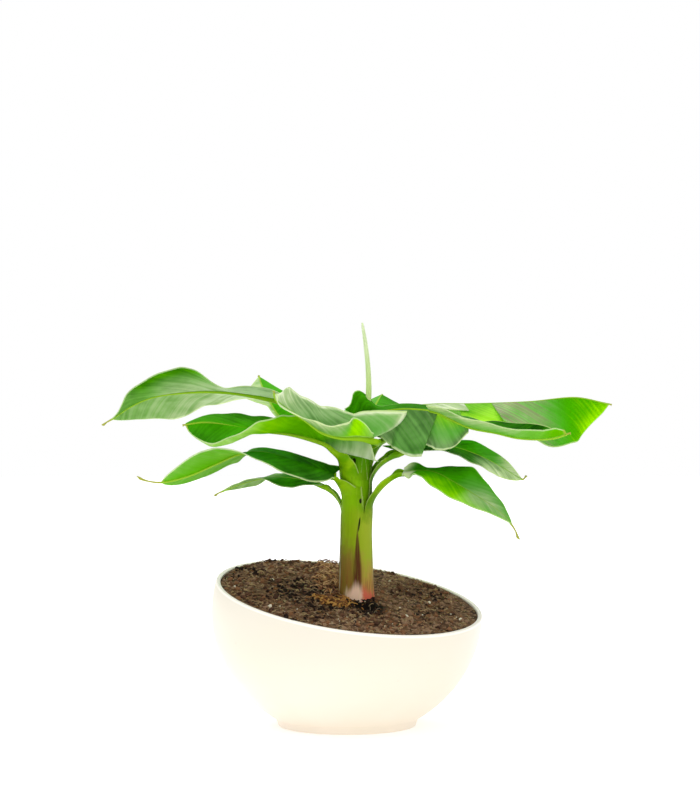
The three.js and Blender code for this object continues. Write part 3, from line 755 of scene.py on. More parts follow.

# Lists are of [place, value] or [place, value at the midrib, value at the margin], where a place is a
# share of the rib from the foot of the blade to its tip. Lengths are in mm and angles in degrees.
# Of a leaf: rib is points on its midrib, thread the share of it at the tip that is a dry thread, widest
# the place where the blade is widest, tip how pointed its end is, and line how plainly the midrib shows.
# Left and right are its halves as seen from the stem, each a list of parts where it is torn.
# Of a half or a part: span is where it starts and ends, reach its width and share what that is times
# along it, least its least width. Angle is how far it rises from level at the rib, curl what the margin
# adds to that, sweep how far it is drawn on towards the tip, and bow how much more so near the rib.
# Hem is how wide its margin is painted pale, as painted light catching its curled edge, and foot hem how far
# up from the foot it is so. Tone goes from dark to bright green: partly the leaf's own greens and partly
# painted shade and light, darker where other leaves shade a blade and brighter where light shines through
# it.
# Bloom is a pale veil: partly the leaf's own pale wax and partly painted light, as glare, sheen and the
# whitish glow of light through a thin flap, near white where it is strongest. Mark is faint purplish
# stripes.
# Tone below and bloom below are those of the underside, where it has its own.
LEAVES = {
    "leaf_01": {  # upper left, its underside turned to the front
        "rib": [(-52, 0, 355), (-95, 12, 365), (-138, 26, 371), (-182, 40, 371), (-225, 52, 365),
                (-251, 58, 354), (-271, 63, 341), (-283, 66, 334)],
        "thread": 0.055,
        "widest": 0.55,
        "tip": 0.8,
        "left": {
            "tone": [[0, 0.45, 0.45], [1, 0.35, 0.3]],
            "bloom_and_glare": [[0, 0.7, 0.6], [0.4, 0.2, 0.1], [1, 0.1, 0.2]],
            "tone below": [[0, 0.6, 0.6], [0.36, 0.6, 0.6], [0.45, 0.4, 0.25], [0.6, 0.3, 0.16],
                           [1, 0.3, 0.25]],
            "bloom below": [[0, 3.5, 3.5], [0.3, 3.2, 3.2], [0.4, 1.8, 0.2], [0.46, 1.6, -0.3],
                            [0.62, 1.7, -0.3], [0.74, 0.5, -0.1], [0.85, 0.2, 0.3], [1, 0.2, 0.2]],
            "reach": 64,
            "angle": [[0, 16], [0.12, 18], [0.2, 11], [0.29, 2], [0.36, 8], [0.44, 18], [0.51, 21],
                      [0.6, 13], [0.84, 5], [0.92, -10], [1, -16]],
            "curl": [[0, 4], [0.45, 4], [0.6, 16], [0.8, 14], [1, 8]],
        },
        "right": {
            "tone": [[0, 0.4, 0.4], [1, 0.3, 0.3]],
            "bloom_and_glare": [[0, 0.7, 0.8], [0.4, 0.3, 0.3], [1, 0.1, 0.2]],
            "tone below": [[0, 0.5, 0.5], [0.5, 0.4, 0.4], [1, 0.3, 0.35]],
            "bloom below": [[0, 3.5, 3.5], [0.32, 3, 3.2], [0.4, 1.9, 2.2], [0.55, 1, 1.6], [0.7, 1, 1.3],
                            [0.85, 0.7, 0.9], [1, 0.5, 0.5]],
            "hem": [[0, 6], [0.4, 6], [0.55, 3], [0.7, 1], [1, 0]],
            "share": [[0, 1.08], [0.34, 1.08], [0.45, 1]],
            "reach": 66,
            "angle": [[0, -2], [0.36, -4], [0.44, -8], [0.6, -12], [0.68, -22], [0.76, -29], [0.92, -31],
                      [1, -38]],
        },
    },
    "leaf_02": {  # left, folded like a gutter
        "line": [[0, 0.2], [1, 0.3]],
        "rib": [(-14, -30, 304), (-22, -33, 310.5), (-48, -42, 319.5), (-65, -48, 323), (-92, -57, 325.5),
                (-114, -63, 329), (-152, -74, 334), (-176, -81, 331)],
        "thread": 0.02,
        "widest": 0.6,
        "tip": 0.5,
        "left": {
            "tone": [[0, 0.3, 0.3], [1, 0.35, 0.35]],
            "bloom_and_glare": [[0, 0, 0], [1, 0, 0.1]],
            "tone below": [[0, 0.4, 0.4], [0.06, 0.2, 0.25], [0.1, 0.12, 0.4], [0.2, 0.35, 0.55],
                           [0.38, 0.5, 0.62], [0.6, 0.65, 0.7], [1, 0.75, 0.8]],
            "bloom below": [[0, 1.3, 2.2], [0.03, 0.8, 1.9], [0.06, 0.3, 1], [0.1, 0, 0.2], [0.14, 0, 0],
                            [0.55, 0, 0], [0.7, 0.3, 0.6], [1, 0.6, 0.9]],
            "reach": 56,
            "angle": [[0, 18], [0.07, 20], [0.12, 32], [0.2, 35], [0.3, 18], [0.4, -5], [0.52, -15],
                      [0.6, -21], [0.68, -38], [0.76, -65], [0.84, -85], [1, -85]],
            "curl": [[0, 0], [0.07, 10], [0.2, 60], [0.3, 45], [0.4, 80], [0.46, 95], [0.6, 85], [0.68, 95],
                     [0.76, 138], [0.84, 130], [1, 90]],
            "share": [[0, 0.8], [0.3, 0.9], [0.6, 1], [1, 1]],
            "least": [[0, 42], [0.1, 42], [0.25, 20], [0.5, 1], [1, 0.3]],
            "sweep": [[0, -0.86], [0.08, -0.78], [0.17, -0.15], [0.27, 0]],
        },
        "right": {
            "tone": [[0, 0.3, 0.3], [1, 0.35, 0.35]],
            "bloom_and_glare": [[0, 0, 0], [1, 0, 0.1]],
            "reach": 48,
            "angle": [[0, 34], [0.2, 27], [0.36, 23], [0.6, 20], [0.76, 17], [0.9, 9], [1, 4]],
        },
    },
    "leaf_03": {  # lower left, twisted half way
        "line": [[0, 0], [0.3, 0], [0.42, 0.9], [0.6, 0.5], [1, 0.5]],
        "rib": [(-14, -22, 278), (-52, -32, 291), (-89, -42, 302), (-116, -50, 301), (-143, -56, 289),
                (-170, -62, 277), (-198, -68, 270), (-213, -72, 271), (-225, -75, 276)],
        "thread": 0.12,
        "widest": 0.5,
        "tip": 0.6,
        "left": {
            "tone": [[0, 0.16, 0.16], [0.25, 0.32, 0.26], [0.45, 0.4, 0.34], [0.55, 0.5, 0.55],
                     [1, 0.5, 0.5]],
            "bloom_and_glare": [[0, 0, 0.1], [0.5, 0, 0.05], [0.6, 0, 0.25], [1, 0, 0.35]],
            "reach": 42,
            "hem": [[0, 1], [0.1, 1.5], [0.5, 1.5], [0.6, 1], [1, 1]],
            "least": [[0, 6], [0.08, 5], [0.2, 2], [1, 0.3]],
            "sweep": [[0, -0.2], [0.1, 0]],
            "angle": [[0, -60], [0.12, -47], [0.2, -36], [0.28, -31], [0.44, -20], [0.52, -9], [0.6, 10],
                      [0.68, 28], [0.76, 38], [0.84, 42], [1, 42]],
        },
        "right": {
            "tone": [[0, 0.14, 0.14], [0.2, 0.24, 0.2], [0.32, 0.45, 0.5], [0.5, 0.5, 0.5], [1, 0.5, 0.5]],
            "bloom_and_glare": [[0, 0, 0], [0.4, 0, 0], [0.47, 0.4, 0.6], [0.6, 0.4, 0.2], [1, 0.3, 0.2]],
            "reach": 42,
            "least": [[0, 17], [0.08, 16], [0.2, 8], [0.4, 2], [1, 0.3]],
            "sweep": [[0, -0.6], [0.08, -0.4], [0.15, 0]],
            "angle": [[0, 44], [0.12, 24], [0.2, 18], [0.36, 11], [0.44, 3], [0.51, -14], [0.76, -16],
                      [0.92, -20], [1, -24]],
        },
    },
    "leaf_04": {  # lowest left, behind the one above
        "rib": [(-26, 10, 266), (-53, 25, 272), (-88, 42, 274), (-117, 56, 268), (-144, 68, 258),
                (-154, 72, 253)],
        "thread": 0.08,
        "widest": 0.5,
        "left": {
            "tone": [[0, 0.22, 0.25], [1, 0.3, 0.3]],
            "bloom_and_glare": [[0, 0, 0], [0.4, 0, 0], [0.55, 0.6, 0.7], [1, 0.8, 0.8]],
            "reach": 32,
            "angle": [[0, -8], [0.12, -12], [0.2, -23], [0.28, -20], [0.44, -5], [0.52, 0], [0.6, -2],
                      [1, -5]],
        },
        "right": {
            "tone": [[0, 0.22, 0.25], [1, 0.3, 0.3]],
            "bloom_and_glare": [[0, 0, 0], [0.4, 0, 0], [0.55, 0.6, 0.7], [1, 0.8, 0.8]],
            "reach": 32,
            "angle": [[0, -6], [0.28, 0], [0.44, 7], [0.6, 9], [0.68, 0], [0.76, -11], [1, -14]],
        },
    },
    "leaf_05": {  # back left, rising away
        "rib": [(-54, 34, 333), (-76, 60, 342), (-93, 100, 366), (-103, 140, 385), (-107, 165, 396)],
        "thread": 0.03,
        "widest": 0.5,
        "left": {
            "tone": [[0, 0.5, 0.5], [1, 0.5, 0.5]],
            "bloom_and_glare": [[0, 1.2, 1.3], [1, 1.3, 1.5]],
            "reach": 32,
            "angle": [[0, -20], [1, -30]],
            "share": [[0, 0.1], [0.45, 0.15], [0.62, 0.6], [0.75, 1], [1, 1]],
        },
        "right": {
            "tone": [[0, 0.35, 0.3], [1, 0.5, 0.45]],
            "bloom_and_glare": [[0, 0, 0], [0.6, 0, 0.05], [1, 0.1, 0.1]],
            "reach": 48,
            "angle": [[0, 0], [0.3, -5], [0.7, -15], [1, -20]],
        },
    },
    "leaf_06": {  # front left, folded like a gutter, its broad base reaching back past the stem
        "rib": [(27, -66, 317), (10, -76, 318), (-7, -84, 318), (-26, -93, 323), (-42, -100, 334),
                (-56, -106, 343), (-67, -111, 350), (-74, -114, 357), (-76, -116, 366)],
        "thread": 0.02,
        "widest": 0.45,
        "tip": 0.5,
        "left": {
            "tone": [[0, 0.72, 0.72], [0.2, 0.72, 0.75], [0.3, 0.4, 0.45], [0.5, 0.3, 0.4], [1, 0.4, 0.45]],
            "bloom_and_glare": [[0, 0.5, 0.9], [0.06, 0.1, 0.5], [0.12, 0, 0], [0.22, 0, 0], [0.34, 0.3, 1.3],
                      [0.5, 0.3, 1.9], [0.7, 0.5, 2.4], [1, 1.5, 3]],
            "hem": [[0, 0], [0.2, 0], [0.3, 4], [1, 4]],
            "reach": 30,
            "angle": [[0, 60], [0.08, 68], [0.16, 74], [0.24, 52], [0.32, 34], [0.4, 22], [0.48, 11],
                      [0.56, 3], [0.7, -7], [0.78, -13], [1, -25]],
            "least": [[0, 6], [0.08, 10], [0.15, 20], [0.3, 5], [1, 0.3]],
        },
        "right": {
            "tone": [[0, 0.5, 0.55], [0.2, 0.45, 0.45], [0.35, 0.25, 0.3], [0.7, 0.3, 0.3], [1, 0.4, 0.4]],
            "bloom_and_glare": [[0, 0.6, 0.8], [0.1, 0.5, 0.7], [0.2, 0.5, 0.8], [0.4, 0.4, 0.8], [0.6, 0.4, 1.1],
                      [0.72, 0.6, 1.8], [0.85, 1.4, 2.8], [1, 2.4, 3]],
            "hem": [[0, 4], [0.2, 4], [0.3, 3], [0.7, 5], [1, 5]],
            "foot hem": 3.5,
            "bow": 1.3,
            "reach": 44,
            "angle": [[0, 66], [0.12, 62], [0.2, 60], [0.3, 55], [0.46, 46], [0.68, 42], [0.76, 48],
                      [0.84, 58], [0.9, 60], [1, 48]],
            "curl": [[0, 75], [0.15, 40], [0.25, 0], [1, 0]],
            "share": [[0, 0.7], [0.2, 0.75], [0.35, 1], [1, 1]],
            "least": [[0, 34], [0.12, 32], [0.2, 29], [0.3, 20], [0.4, 2], [0.7, 15], [0.8, 24], [0.87, 25],
                      [0.94, 20], [1, 6]],
            "sweep": [[0, -1.3], [0.12, -0.8], [0.2, -0.5], [0.3, -0.3], [0.5, 0], [0.75, 0.1], [0.9, 0.1],
                      [1, 0]],
        },
    },
    "leaf_07": {  # right, its near half torn and hanging and then folded up
        "rib": [(18, -4, 338), (32, -10, 345), (50, -19, 349), (68, -30, 350), (97, -45, 346),
                (112, -50, 339), (133, -58, 329), (160, -65, 323), (186, -72, 317), (220, -80, 317),
                (239, -84, 323)],
        "thread": 0.02,
        "widest": 0.4,
        "left": {
            "tone": [[0, 0.22, 0.28], [0.1, 0.22, 0.28], [0.25, 0.2, 0.24], [0.4, 0.28, 0.28],
                     [0.55, 0.15, 0.15], [0.85, 0.15, 0.15], [1, 0.4, 0.35]],
            "bloom_and_glare": [[0, 0, 0], [0.3, 0, 0.05], [0.4, 0.05, 0.2], [0.55, 0, 0], [1, 0, 0]],
            "reach": 62,
            "angle": [[0, 46], [0.03, 54], [0.05, 86], [0.064, 46], [0.08, 18], [0.12, 15], [0.2, 6],
                      [0.28, 0], [0.36, -2], [0.44, 2], [0.52, 6], [0.68, 15], [0.76, 24], [0.84, 34],
                      [0.92, 50], [1, 50]],
            "least": [[0, 36], [0.03, 32], [0.05, 53], [0.066, 32], [0.2, 10], [1, 0.3]],
            "sweep": [[0, -0.78], [0.02, -0.5], [0.04, -0.16], [0.052, -0.2], [0.075, -0.5], [0.1, -0.3],
                      [0.14, 0]],
        },
        "right": [
            {
                "tone": [[0, 0.2, 0.25], [0.14, 0.18, 0.24], [0.39, 0.22, 0.25]],
                "bloom_and_glare": [[0, 0.45, 0.9], [0.14, 0.4, 0.8], [0.2, 0.3, 0.25], [0.39, 0.35, 0.25]],
                "hem": [[0, 0.8], [0.3, 0.8], [0.34, 1.5], [0.39, 2]],
                "span": (0, 0.39),
                "reach": 60,
                "angle": [[0, -74], [0.15, -75], [0.2, -63], [0.24, -58], [0.28, -63], [0.36, -60],
                          [0.39, -60]],
                "share": [[0, 1], [0.33, 1], [0.39, 0.93]],
                "least": [[0, 24], [0.15, 24], [0.3, 1]],
                "sweep": [[0.24, 0], [0.34, 0.05], [0.39, 0.12]],
            },
            {
                "tone": [[0.31, 0.8, 0.1], [0.42, 0.88, 0.08], [0.5, 0.75, 0.08], [0.55, 0.3, 0.08]],
                "bloom_and_glare": [[0.31, 0.1, 0.5], [0.55, 0.1, 0.5]],
                "span": (0.31, 0.55),
                "reach": 56,
                "angle": [[0.31, -68], [0.42, -76], [0.55, -80]],
                "hem": [[0.31, 1.2], [0.55, 1.2]],
                "share": [[0.31, 0.7], [0.37, 0.72], [0.43, 0.68], [0.5, 0.5], [0.55, 0.08]],
                "sweep": [[0.31, 0.1], [0.4, 0.3], [0.55, 0.36]],
            },
            {
                "tone": [[0.35, 0.5, 0.55], [0.8, 0.45, 0.5], [0.93, 0.4, 0.5], [1, 0.5, 0.6]],
                "bloom_and_glare": [[0.35, 1.2, 1.9], [0.55, 0.3, 1.8], [0.7, 0, 1.3], [0.85, 0.1, 0.3], [0.93, 0, 0],
                          [1, 0, 0]],
                "span": (0.35, 1),
                "reach": 40,
                "angle": [[0.35, 24], [0.48, 24], [0.7, 19], [0.8, 23], [0.86, 34], [0.92, 50], [1, 60]],
                "share": [[0.35, 0.3], [0.5, 0.6], [0.8, 1], [1, 1]],
                "least": [[0.35, 10], [0.8, 14], [0.97, 12], [1, 3]],
            },
        ],
    },
    "leaf_08": {  # upper right, its upper side turned to the front
        "rib": [(43, 20, 338), (72, 40, 354), (99, 55, 358), (144, 75, 359), (213, 92, 362),
                (269, 100, 367), (301, 104, 361), (311, 105, 359)],
        "thread": 0.01,
        "widest": 0.68,
        "left": {
            "tone": [[0, 0.5, 0.5], [1, 0.5, 0.5]],
            "bloom_and_glare": [[0, 0.5, 0.5], [1, 0.1, 0.2]],
            "reach": 62,
            "angle": [[0, -10], [0.3, -15], [1, -20]],
        },
        "right": [
            {
                "tone": [[0, 0.5, 0.5], [0.42, 0.5, 0.5]],
                "bloom_and_glare": [[0, 2.4, 3], [0.38, 2, 2.8]],
                "span": (0, 0.38),
                "reach": 20,
                "angle": [[0, -24], [0.38, -30]],
            },
            {
                "tone": [[0.36, 0.6, 0.9], [0.53, 0.7, 1]],
                "bloom_and_glare": [[0.36, 0.2, 0.15], [0.53, 0.2, 0.2]],
                "span": (0.36, 0.53),
                "reach": 30,
                "angle": [[0.36, -38], [0.53, -36]],
                "least": [[0.36, 32], [0.46, 44], [0.53, 46]],
                "sweep": [[0.36, -0.3], [0.46, 0], [0.53, 0.25]],
            },
            {
                "tone": [[0.5, 0.6, 0.6], [0.7, 0.45, 0.4], [0.8, 0.5, 0.6], [0.92, 0.56, 0.84],
                         [1, 0.64, 0.84]],
                "bloom_and_glare": [[0.5, 1.1, 1], [0.62, 0.9, 0.6], [0.72, 0.3, 0.1], [0.8, 0, 0], [1, 0, 0]],
                "mark": [[0.5, 0.65, 0.65], [0.68, 0.5, 0.35], [0.76, 0, 0]],
                "span": (0.5, 1),
                "reach": 70,
                "angle": [[0.5, -26], [0.6, -37], [0.68, -50], [0.76, -54], [0.84, -67], [1, -71]],
                "share": [[0.45, 0.5], [0.6, 1], [0.8, 1.02], [0.9, 1.22], [1, 1.2]],
            },
        ],
    },
    "leaf_09": {  # right, under the big ones
        "rib": [(57, 8, 304), (80, 18, 309), (117, 30, 309), (151, 37, 298), (178, 41, 284), (200, 43, 272),
                (204, 44, 276)],
        "thread": 0.04,
        "widest": 0.5,
        "left": {
            "tone": [[0, 0.2, 0.25], [0.4, 0.25, 0.4], [0.6, 0.35, 0.5], [0.75, 0.4, 0.5], [1, 0.4, 0.4]],
            "bloom_and_glare": [[0, 0, 0.1], [0.6, 0, 0.05], [0.76, 0.2, 0.2], [0.88, 1.7, 1.5], [1, 2.4, 2.4]],
            "least": [[0, 14], [0.08, 13], [0.2, 3], [1, 0.3]],
            "sweep": [[0, -0.9], [0.08, -0.6], [0.16, 0]],
            "reach": 42,
            "angle": [[0, 36], [0.08, 26], [0.18, 3], [0.36, 0], [0.44, 5], [0.52, 18], [0.6, 24],
                      [0.84, 31], [1, 34]],
        },
        "right": {
            "tone": [[0, 0.16, 0.16], [0.4, 0.22, 0.2], [0.6, 0.2, 0.2], [1, 0.3, 0.3]],
            "bloom_and_glare": [[0, 0, 0], [0.56, 0, 0.1], [0.7, 0.4, 1.5], [0.82, 1.6, 2.2], [1, 2.4, 2.6]],
            "reach": 42,
            "angle": [[0, -10], [0.28, -10], [0.44, -18], [0.6, -20], [0.76, -25], [0.84, -33], [1, -42]],
        },
    },
    "leaf_10": {  # lowest right, its upper side turned to the front
        "line": [[0, 0.5], [0.4, 0.5], [0.8, 0.8], [1, 1]],
        "rib": [(62, -26, 281), (93, -38, 281), (117, -48, 269), (138, -56, 256), (163, -64, 239),
                (178, -68, 224), (186, -70, 208)],
        "thread": 0.12,
        "widest": 0.48,
        "left": {
            "tone": [[0, 0.3, 0.35], [0.5, 0.4, 0.38], [1, 0.5, 0.45]],
            "bloom_and_glare": [[0, 3, 4], [0.04, 1.6, 3], [0.07, 0, 0], [0.45, 0, 0], [0.58, 0.4, 0],
                      [0.7, 1.4, 0.1], [0.82, 1.5, 0.2], [0.9, 0.6, 0.2], [1, 0.4, 0.2]],
            "reach": 46,
            "least": [[0, 5], [0.08, 7], [0.2, 2], [1, 0.3]],
            "angle": [[0, 55], [0.06, 34], [0.12, 7], [0.2, 4], [0.28, 11], [0.36, 18], [0.44, 23],
                      [0.52, 19], [0.6, 15], [1, 10]],
        },
        "right": {
            "tone": [[0, 0.5, 0.6], [0.3, 0.6, 0.75], [0.6, 0.6, 0.8], [1, 0.5, 0.6]],
            "bloom_and_glare": [[0, 6, 6], [0.06, 5, 5.5], [0.1, 0, 0], [0.55, 0, 0], [0.65, 1.2, 0.2],
                      [0.8, 1.4, 0.5], [1, 0.6, 0.5]],
            "least": [[0, 7], [0.07, 7], [0.13, 2], [1, 0.3]],
            "reach": 38,
            "angle": [[0, -38], [0.07, -34], [0.13, -6], [0.2, -11], [0.36, -15], [0.6, -16], [1, -14]],
        },
    },
    "leaf_11": {  # straight back, its tip showing over the crown
        "rib": [(20, 34, 336), (28, 80, 350), (34, 120, 360), (39, 170, 369), (43, 212, 375)],
        "thread": 0.03,
        "widest": 0.38,
        "left": {
            "tone": [[0, 0.35, 0.35], [1, 0.35, 0.35]],
            "bloom_and_glare": [[0, 0.1, 0.2], [1, 0.2, 0.3]],
            "bloom below": [[0, 0.1, 0.2], [0.5, 0.2, 0.4], [0.75, 2, 3], [1, 3, 3.5]],
            "reach": 52,
            "angle": [[0, -5], [0.3, -15], [1, -20]],
        },
        "right": {
            "tone": [[0, 0.35, 0.35], [1, 0.25, 0.25]],
            "bloom_and_glare": [[0, 0.1, 0.2], [1, 0, 0]],
            "reach": 52,
            "angle": [[0, -5], [0.3, -15], [1, -22]],
        },
    },
    "leaf_12": {  # back right, hidden from the front
        "rib": [(42, 44, 318), (62, 82, 326), (84, 124, 329), (104, 160, 326), (116, 184, 320)],
        "thread": 0.03,
        "widest": 0.45,
        "left": {
            "tone": [[0, 0.3, 0.3], [1, 0.4, 0.4]],
            "bloom_and_glare": [[0, 0.1, 0.1], [1, 0.1, 0.2]],
            "reach": 40,
            "angle": [[0, 8], [0.4, 6], [1, -5]],
        },
        "right": {
            "tone": [[0, 0.3, 0.3], [1, 0.4, 0.4]],
            "bloom_and_glare": [[0, 0.1, 0.1], [1, 0.1, 0.2]],
            "reach": 40,
            "angle": [[0, -8], [1, -12]],
        },
    },
}


def keyed(pairs, places, ease=0.02):
    """Reads [place, value] pairs at places along a piece, rounding off the corners between them."""
    at = [pair[0] for pair in pairs]
    values = [pair[1] for pair in pairs]
    offsets = np.linspace(-ease, ease, 11)
    return np.mean([np.interp(np.asarray(places) + offset, at, values) for offset in offsets], axis=0)


def spline(points, places):
    """Points and directions on a smooth curve through points, at shares of its length."""
    through = np.array(points, float)
    through = np.vstack([2 * through[0] - through[1], through, 2 * through[-1] - through[-2]])
    knots = np.sqrt(np.linalg.norm(np.diff(through, axis=0), axis=1))
    fine = []
    gaps = zip(knots, knots[1:], knots[2:])
    for before, start, end, after, (a, b, c) in zip(through, through[1:], through[2:], through[3:], gaps):
        leave = ((start - before) / a - (end - before) / (a + b) + (end - start) / b) * b
        arrive = ((end - start) / b - (after - start) / (b + c) + (after - end) / c) * b
        t = np.linspace(0, 1, 60, endpoint=False)[:, None]
        bend = 2 * start - 2 * end + leave + arrive
        swing = -3 * start + 3 * end - 2 * leave - arrive
        fine.append(bend * t**3 + swing * t**2 + leave * t + start)
    fine = np.vstack([*fine, through[-2:-1]])
    run = np.concatenate([[0], np.cumsum(np.linalg.norm(np.diff(fine, axis=0), axis=1))])
    at = np.asarray(places) * run[-1]
    step = run[-1] * 0.004

    def read(where):
        return np.stack([np.interp(where, run, fine[:, axis]) for axis in range(3)], axis=1)

    along = read(np.minimum(at + step, run[-1])) - read(np.maximum(at - step, 0))
    return read(at), along / np.linalg.norm(along, axis=1)[:, None], run[-1]


def frames(along):
    """The level direction to the right of a curve and the direction over it, at each of its places."""
    side = np.cross(along, (0, 0, 1))
    side /= np.linalg.norm(side, axis=1)[:, None]
    return side, np.cross(side, along)


def outline(places, widest, tip):
    """How wide a blade is at places along it, as a share of its widest reach."""
    base = places < widest
    share = np.where(base, places / widest, (1 - places) / (1 - widest)).clip(0, 1)
    return np.sin(share * np.pi / 2) ** np.where(base, BASE_ROUNDNESS, tip)


def half_blade(leaf, half, hand):
    """Points of one half of a blade in rows from the midrib to the margin, its places, widths and length."""
    start, end = half.get("span", (0, 1))
    body = 1 - leaf["thread"]
    length = spline(leaf["rib"], [0])[2] * MM * body
    rows = max(int(length * (end - start) / CELL), 8)
    places = np.linspace(start, end, rows + 1)
    middle, along, _ = spline(leaf["rib"], places * body)
    side, over = frames(along)
    out = side * hand
    shape = outline(places, leaf["widest"], leaf.get("tip", TIP_ROUNDNESS))
    width = half["reach"] * shape * keyed(half.get("share", FULL), places)
    width = np.maximum(width, keyed(half.get("least", LEAST), places))
    step = (width / CELLS_ACROSS)[:, None]
    angle = keyed(half["angle"], places)
    curl = keyed(half.get("curl", NONE), places)
    sweep = keyed(half.get("sweep", NONE), places)[:, None]
    bow = half.get("bow", 0)
    ripple = WAVE_SWING * np.sin(2 * np.pi * (WAVE_COUNT * places + WAVE_START))
    ripple = ripple * np.sin(np.pi * places.clip(0.02, 0.98)) ** 0.5
    columns = [middle]
    for column in range(CELLS_ACROSS):
        share = (column + 0.5) / CELLS_ACROSS
        bend = np.radians(angle + curl * share**2 + ripple * share * 1.5)[:, None]
        slip = along * sweep * (1 + bow * (1 - 2 * share))
        columns.append(columns[-1] + step * (out * np.cos(bend) + over * np.sin(bend) + slip))
    return np.stack(columns, axis=1) * MM, places, width * MM, length


def torn_parts(half):
    """The parts that a half of a blade is torn into, or the half alone where it is whole."""
    return half if isinstance(half, list) else [half]


def halves(leaf):
    """Each half or part of a half of a leaf, with the hand that it lies to: -1 left, 1 right."""
    return [(part, hand) for key, hand in (("left", -1), ("right", 1)) for part in torn_parts(leaf[key])]


def leaf_grid(name, rows, columns):
    """A flat grid, and for each of its corners the row and the column that it stands in."""
    bpy.ops.mesh.primitive_grid_add(x_subdivisions=rows, y_subdivisions=columns, size=2)
    piece = bpy.context.object
    piece.name = name
    corners = np.empty(len(piece.data.vertices) * 3)
    piece.data.vertices.foreach_get("co", corners)
    corners = corners.reshape(-1, 3)
    row = np.rint((corners[:, 0] + 1) / 2 * rows).astype(int)
    column = np.rint((corners[:, 1] + 1) / 2 * columns).astype(int)
    return piece, row, column


def note(piece, name, values):
    """Stores a vector for each corner of a piece, for its material to read."""
    layer = piece.data.attributes.new(name, "FLOAT_VECTOR", "POINT")
    layer.data.foreach_set("vector", np.ascontiguousarray(values, dtype=np.float32).ravel())


def noted(tree, name):
    """The vectors stored for the corners of a piece under a name."""
    return place(tree, "ShaderNodeAttribute", attribute_name=name).outputs["Vector"]


def across_and_along(pairs, places, share):
    """Reads [place, value at the midrib, value at the margin] at every place and share out."""
    inner = keyed([pair[:2] for pair in pairs], places)[:, None]
    outer = keyed([[pair[0], pair[2]] for pair in pairs], places)[:, None]
    return inner + (outer - inner) * share


def blade_part(name, leaf, half, hand):
    """One half of a blade, or one torn strip of it, as a sheet with its upper side up."""
    points, places, width, length = half_blade(leaf, half, hand)
    rows = len(places) - 1
    piece, row, column = leaf_grid(name, rows, CELLS_ACROSS)
    share = np.linspace(0, 1, CELLS_ACROSS + 1)[None, :]
    along = (places * length / MM)[:, None] + 0 * share
    whole = (width / MM)[:, None]
    across = whole * share
    run = along - VEIN_LEAN * across
    lie = np.cross(np.gradient(points, axis=0), np.gradient(points, axis=1)) * -hand
    lie /= np.linalg.norm(lie, axis=2)[:, :, None] + 1e-12
    pleat = np.sin(VEIN_PITCH * run + VEIN_SWAY * np.sin(VEIN_DRIFT * run)) * np.minimum(share * 4, 1)
    pleat = pleat * np.minimum(across / 12, 1) * (1.4 - share)
    points = points + lie * (PLEAT * pleat)[:, :, None]
    piece.data.vertices.foreach_set("co", points[row, column].ravel())
    # Tone and bloom carry painted shade, light and glare along with the leaf's own greens and pale wax.
    tone = across_and_along(half["tone"], places, share)
    bloom_and_glare = across_and_along(half["bloom_and_glare"], places, share)
    mark = across_and_along(half.get("mark", [[0, 0, 0]]), places, share)
    tone_below = across_and_along(half.get("tone below", half["tone"]), places, share)
    bloom_and_glare_below = across_and_along(half.get("bloom below", half["bloom_and_glare"]), places, share)
    # The hem is painted pale as light catching the margin, and lifts the bloom there to the near white of
    # glare.
    hem = keyed(half.get("hem", NONE), places)[:, None]
    pale = np.clip(1.4 - (whole - across) / np.maximum(hem, 0.01), 0, 1) * hem.clip(0, 1)
    if "foot hem" in half:
        pale = np.maximum(pale, np.clip(1.4 - along / half["foot hem"], 0, 1) * share.clip(0.3, 1))
    bloom_and_glare, bloom_and_glare_below = np.maximum(bloom_and_glare, 3.5 * pale), np.maximum(bloom_and_glare_below, 3.5 * pale)
    line = keyed(leaf.get("line", [[0, 1], [1, 1]]), places)[:, None] + 0 * share
    note(piece, "blade", np.stack([along, across, whole - across], axis=2)[row, column])
    note(piece, "shade", np.stack([tone, bloom_and_glare, mark], axis=2)[row, column])
    note(piece, "below", np.stack([tone_below, bloom_and_glare_below, 0 * mark], axis=2)[row, column])
    note(piece, "place", np.stack([places[:, None] + 0 * line, line, 0 * line], axis=2)[row, column])
    bpy.ops.object.mode_set(mode="EDIT")
    bpy.ops.mesh.select_all(action="SELECT")
    if hand > 0:
        bpy.ops.mesh.flip_normals()
    bpy.ops.object.mode_set(mode="OBJECT")
    return piece


